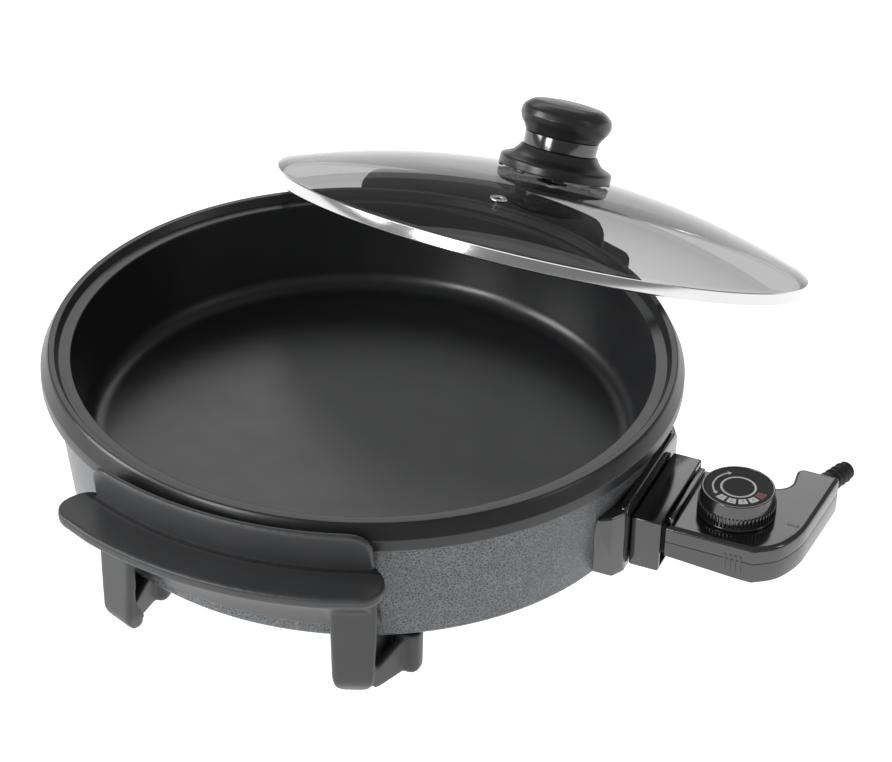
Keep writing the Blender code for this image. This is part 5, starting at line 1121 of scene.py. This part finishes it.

# %% [markdown]
# ## The glass dome and its band
#
# The dome is a shallow curve, steeper towards the edge, ground flat where the band grips it.
# Its height at any radius is one formula, which also sets the vent on the glass. The band is
# strip rolled round the edge, with a small lip inside and out. A thin dark ring in the joint
# between the two is painted shadow, the dark gap under the glass's edge.

# %%
DOME_EDGE_Z, DOME_RISE, DOME_EDGE_RADIUS, DOME_POWER = 8.8, 33.5, 196, 2.1
GLASS_THICKNESS, GLASS_BORE = 4, 4
VENT_DISTANCE = 116


def dome(radius):
    return DOME_EDGE_Z + DOME_RISE * (1 - (radius / DOME_EDGE_RADIUS) ** DOME_POWER)


def dome_slope(radius):
    share = radius / DOME_EDGE_RADIUS
    return -DOME_RISE * DOME_POWER * share ** (DOME_POWER - 1) / DOME_EDGE_RADIUS


def glass_mesh():
    steps = 48
    top, under = [], []
    for step in range(steps + 1):
        radius = GLASS_BORE + (DOME_EDGE_RADIUS - GLASS_BORE) * step / steps
        top.append((radius, dome(radius)))
        drop = GLASS_THICKNESS * math.hypot(1, dome_slope(radius))
        if radius < 191.8:
            under.append((radius, dome(radius) - drop))
    edge = [(196.6, DOME_EDGE_Z - 0.7), (196.6, 1), (193.2, 1), (193.2, 4.6)]
    return lathe(mm(*top, *edge, *reversed(under)), LARGE_ROUND, LID)


upright_vent = turned(-90) @ shifted(VENT_DISTANCE, 0, dome(VENT_DISTANCE))
vent_lean = math.degrees(-math.atan(dome_slope(VENT_DISTANCE)))
VENT = LID @ upright_vent @ turned(vent_lean, "Y")
glass = carved(glass_mesh(), plug((4.2, 5), (4.2, -9), 48, VENT))
put("glass_dome", glass, GLASS, "lid", "clear_glass", "lid_glass")

band_outline = mm(
    (BAND_RADIUS, 8.4, 0.25), (BAND_RADIUS, 0, 1.3), (192.5, 0, 1.3), (192.5, 3, 0.2),
    (193.05, 3, 0.2), (193.05, 0.6, 0.3), (196.9, 0.6, 0.3), (196.9, 8, 0.2),
    (196.2, 8.4, 0.2), (196.2, 8.9, 0.2),
)
band = lathe(softened(band_outline), LARGE_ROUND, LID)
put("steel_band", band, POLISHED, "lid", "polished_steel", "lid_band")
# A thin dark ring under the glass's edge: painted shadow in the gap between glass and band.
painted_shadow_outline = mm((191.9, 3.3), (192.9, 3.3), (192.9, 4.4), (191.9, 4.8))
put("seal_line", lathe(painted_shadow_outline, LARGE_ROUND, LID), RUBBER, "lid", "soft_rubber")
eyelet_outline = mm(
    (2.6, 1, 0.5), (5.9, 1, 0.8), (6.1, 0.3, 0.1), (3.9, 0.3, 0.1),
    (3.9, -4.3, 0.2), (5.2, -4.3, 0.3), (5.2, -5.1, 0.3), (2.6, -5.1, 0.3),
)
eyelet = lathe(softened(eyelet_outline), 64, VENT)
put("vent_ring", eyelet, POLISHED, "lid", "polished_steel", "vent_eyelet")
print("glass, band and vent done")

# %% [markdown]
# ## The knob
#
# The knob is three mouldings on one screw: a flared base on small pads, a polished ring for a
# neck, and a cap like a flat mushroom.

# %%
foot_outline = mm(
    (0, 75, 0), (19, 75, 0.5), (19, 61.1, 0.2), (28.2, 61.1, 0.8),
    (29.6, 58.6, 8), (33, 54.6, 10), (40.2, 51.6, 3), (41.2, 50, 1.5),
    (41.2, 43.9, 1), (37.4, 43.9, 0.4), (37.4, 49.5, 1), (12, 51.8, 1),
    (12, 42.9, 0.3), (2.8, 42.9, 0.2), (2.8, 70, 0.2), (0, 70, 0),
)
foot = lathe(softened(foot_outline, 7), KNOB_ROUND, LID)
put("knob_foot", foot, KNOB_BLACK, "lid", "black_knob", "knob_base")
pad = pebble((-1.6, -4.2, 42.2), (1.6, 4.2, 44.5), 0.6)
pads = copies_round(pad, 8, 39.2, KNOB_BLACK, LID, math.pi / 8)
put("knob_pads", pads, KNOB_BLACK, "lid", "black_knob")
ring_outline = mm((27.2, 71, 0.4), (26.8, 61.4, 0.4), (19.3, 61.4, 0.2), (19.3, 71, 0.2))
ring = lathe(softened(ring_outline), KNOB_ROUND, LID)
put("knob_collar_ring", ring, GLOSS_BLACK, "lid", "black_gloss", "knob_neck_ring")
cap_outline = mm(
    (0, 96.3, 0), (12, 96.1, 12), (26.5, 94.4, 12), (32.6, 89, 6),
    (33.5, 83.7, 1), (32.2, 79.4, 5), (28.6, 74.4, 6), (27.2, 71.3, 0.6),
    (19.3, 71.3, 0.2), (19.3, 75.3, 0.2), (0, 75.3, 0),
)
cap = lathe(softened(cap_outline, 6), KNOB_ROUND, LID)
put("knob_crown", cap, KNOB_BLACK, "lid", "black_knob", "knob_cap")
print("knob done")

# %% [markdown]
# ## Small metal and hidden pieces
#
# The screws, pins, clamps and covers are already the right shape, and so are the disc of the
# dial and the pilot lens. They keep their solids and get a finish of their own.

# %%
KEEP = {
    PLAIN_STEEL: (
        "base_cover", "base_screw_", "handle_screw_", "case_screw_", "element_clamp_",
        "sensor_probe", "dial_spindle", "cord_clamp",
    ),
    HEATED_STEEL: ("heating_element",),
    BRASS: ("terminal_pin_", "earth_contact", "sensor_guide", "contact_sleeve_", "switch_blade"),
    HEATPROOF: ("contact_carrier", "switch_block"),
    POLISHED: ("knob_screw",),
    RUBBER: ("knob_washer",),
    DISC_BLACK: ("dial_face",),
    GREY_INK: ("pilot_lens",),
}
dressed = 0
for finish, stems in KEEP.items():
    for name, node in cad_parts.items():
        if name.startswith(stems):
            node.data.materials.clear()
            node.data.materials.append(finish)
            dressed += 1
print("plain solids dressed:", dressed)

# %% [markdown]
# ## Floor and light
#
# The photograph is a cut-out on white, so the floor is close to white and the light is soft
# from all sides. A large lamp above and behind gives the pale sheen on the collar and the
# knob, two at the left light the hammered wall, and a narrow one at the right draws the
# reflections on the thermostat.

# %%
LAMPS = {
    "key_light": (-46, 20, 2.4, 0.8, 0.8, 28),
    "left_light": (-88, 24, 2.2, 0.9, 1, 27),
    "right_light": (72, 28, 2.4, 0.4, 1, 3),
    "back_strip": (180, 34, 2.8, 2.6, 1.2, 15),
}
WHITE = (1, 1, 1)


def pale_floor():
    made = bmesh.new()
    bmesh.ops.create_grid(made, x_segments=1, y_segments=1, size=6)
    mesh = as_mesh(made, "floor")
    dull = {"emission_strength": 1.28, "specular_ior_level": 0.1}
    finish = Finish("pale_floor", (0.12, 0.12, 0.12), 0.9, **dull)
    tint = finish.blend(finish.noise(400, 1), (0.98, 0.98, 0.98), WHITE)
    finish.feed("Emission Color", tint)
    mesh.materials.append(finish.material)
    floor = linked("floor", mesh)


def lamp(name, azimuth, elevation, distance, width, height, watts):
    """A rectangular lamp that looks at the pan from a direction round the view, in metres."""
    turn = math.radians(VIEW_TURN + azimuth)
    rise = math.radians(elevation)
    flat = math.cos(rise)
    away = Vector((math.sin(turn) * flat, -math.cos(turn) * flat, math.sin(rise)))
    light = bpy.data.lights.new(name, "AREA")
    light.shape = "RECTANGLE"
    light.size = width
    light.size_y = height
    light.energy = watts
    item = linked(name, light)
    item.location = Vector((PAN_X, PAN_Y, 90 * MM)) + away * distance
    item.rotation_euler = (-away).to_track_quat("-Z", "Y").to_euler()


pale_floor()
for name, numbers in LAMPS.items():
    lamp(name, *numbers)
world = bpy.data.worlds.new("studio")
world.use_nodes = True
sky = world.node_tree.nodes["Background"]
sky.inputs["Color"].default_value = (*WHITE, 1)
sky.inputs["Strength"].default_value = 0.26
bpy.context.scene.world = world
bpy.context.scene.view_settings.view_transform = "Standard"
print("four lamps and a white sky")

# %% [markdown]
# ## Bringing the scene up to date
#
# The view layer is brought up to date once more.

# %%
bpy.context.view_layer.update()
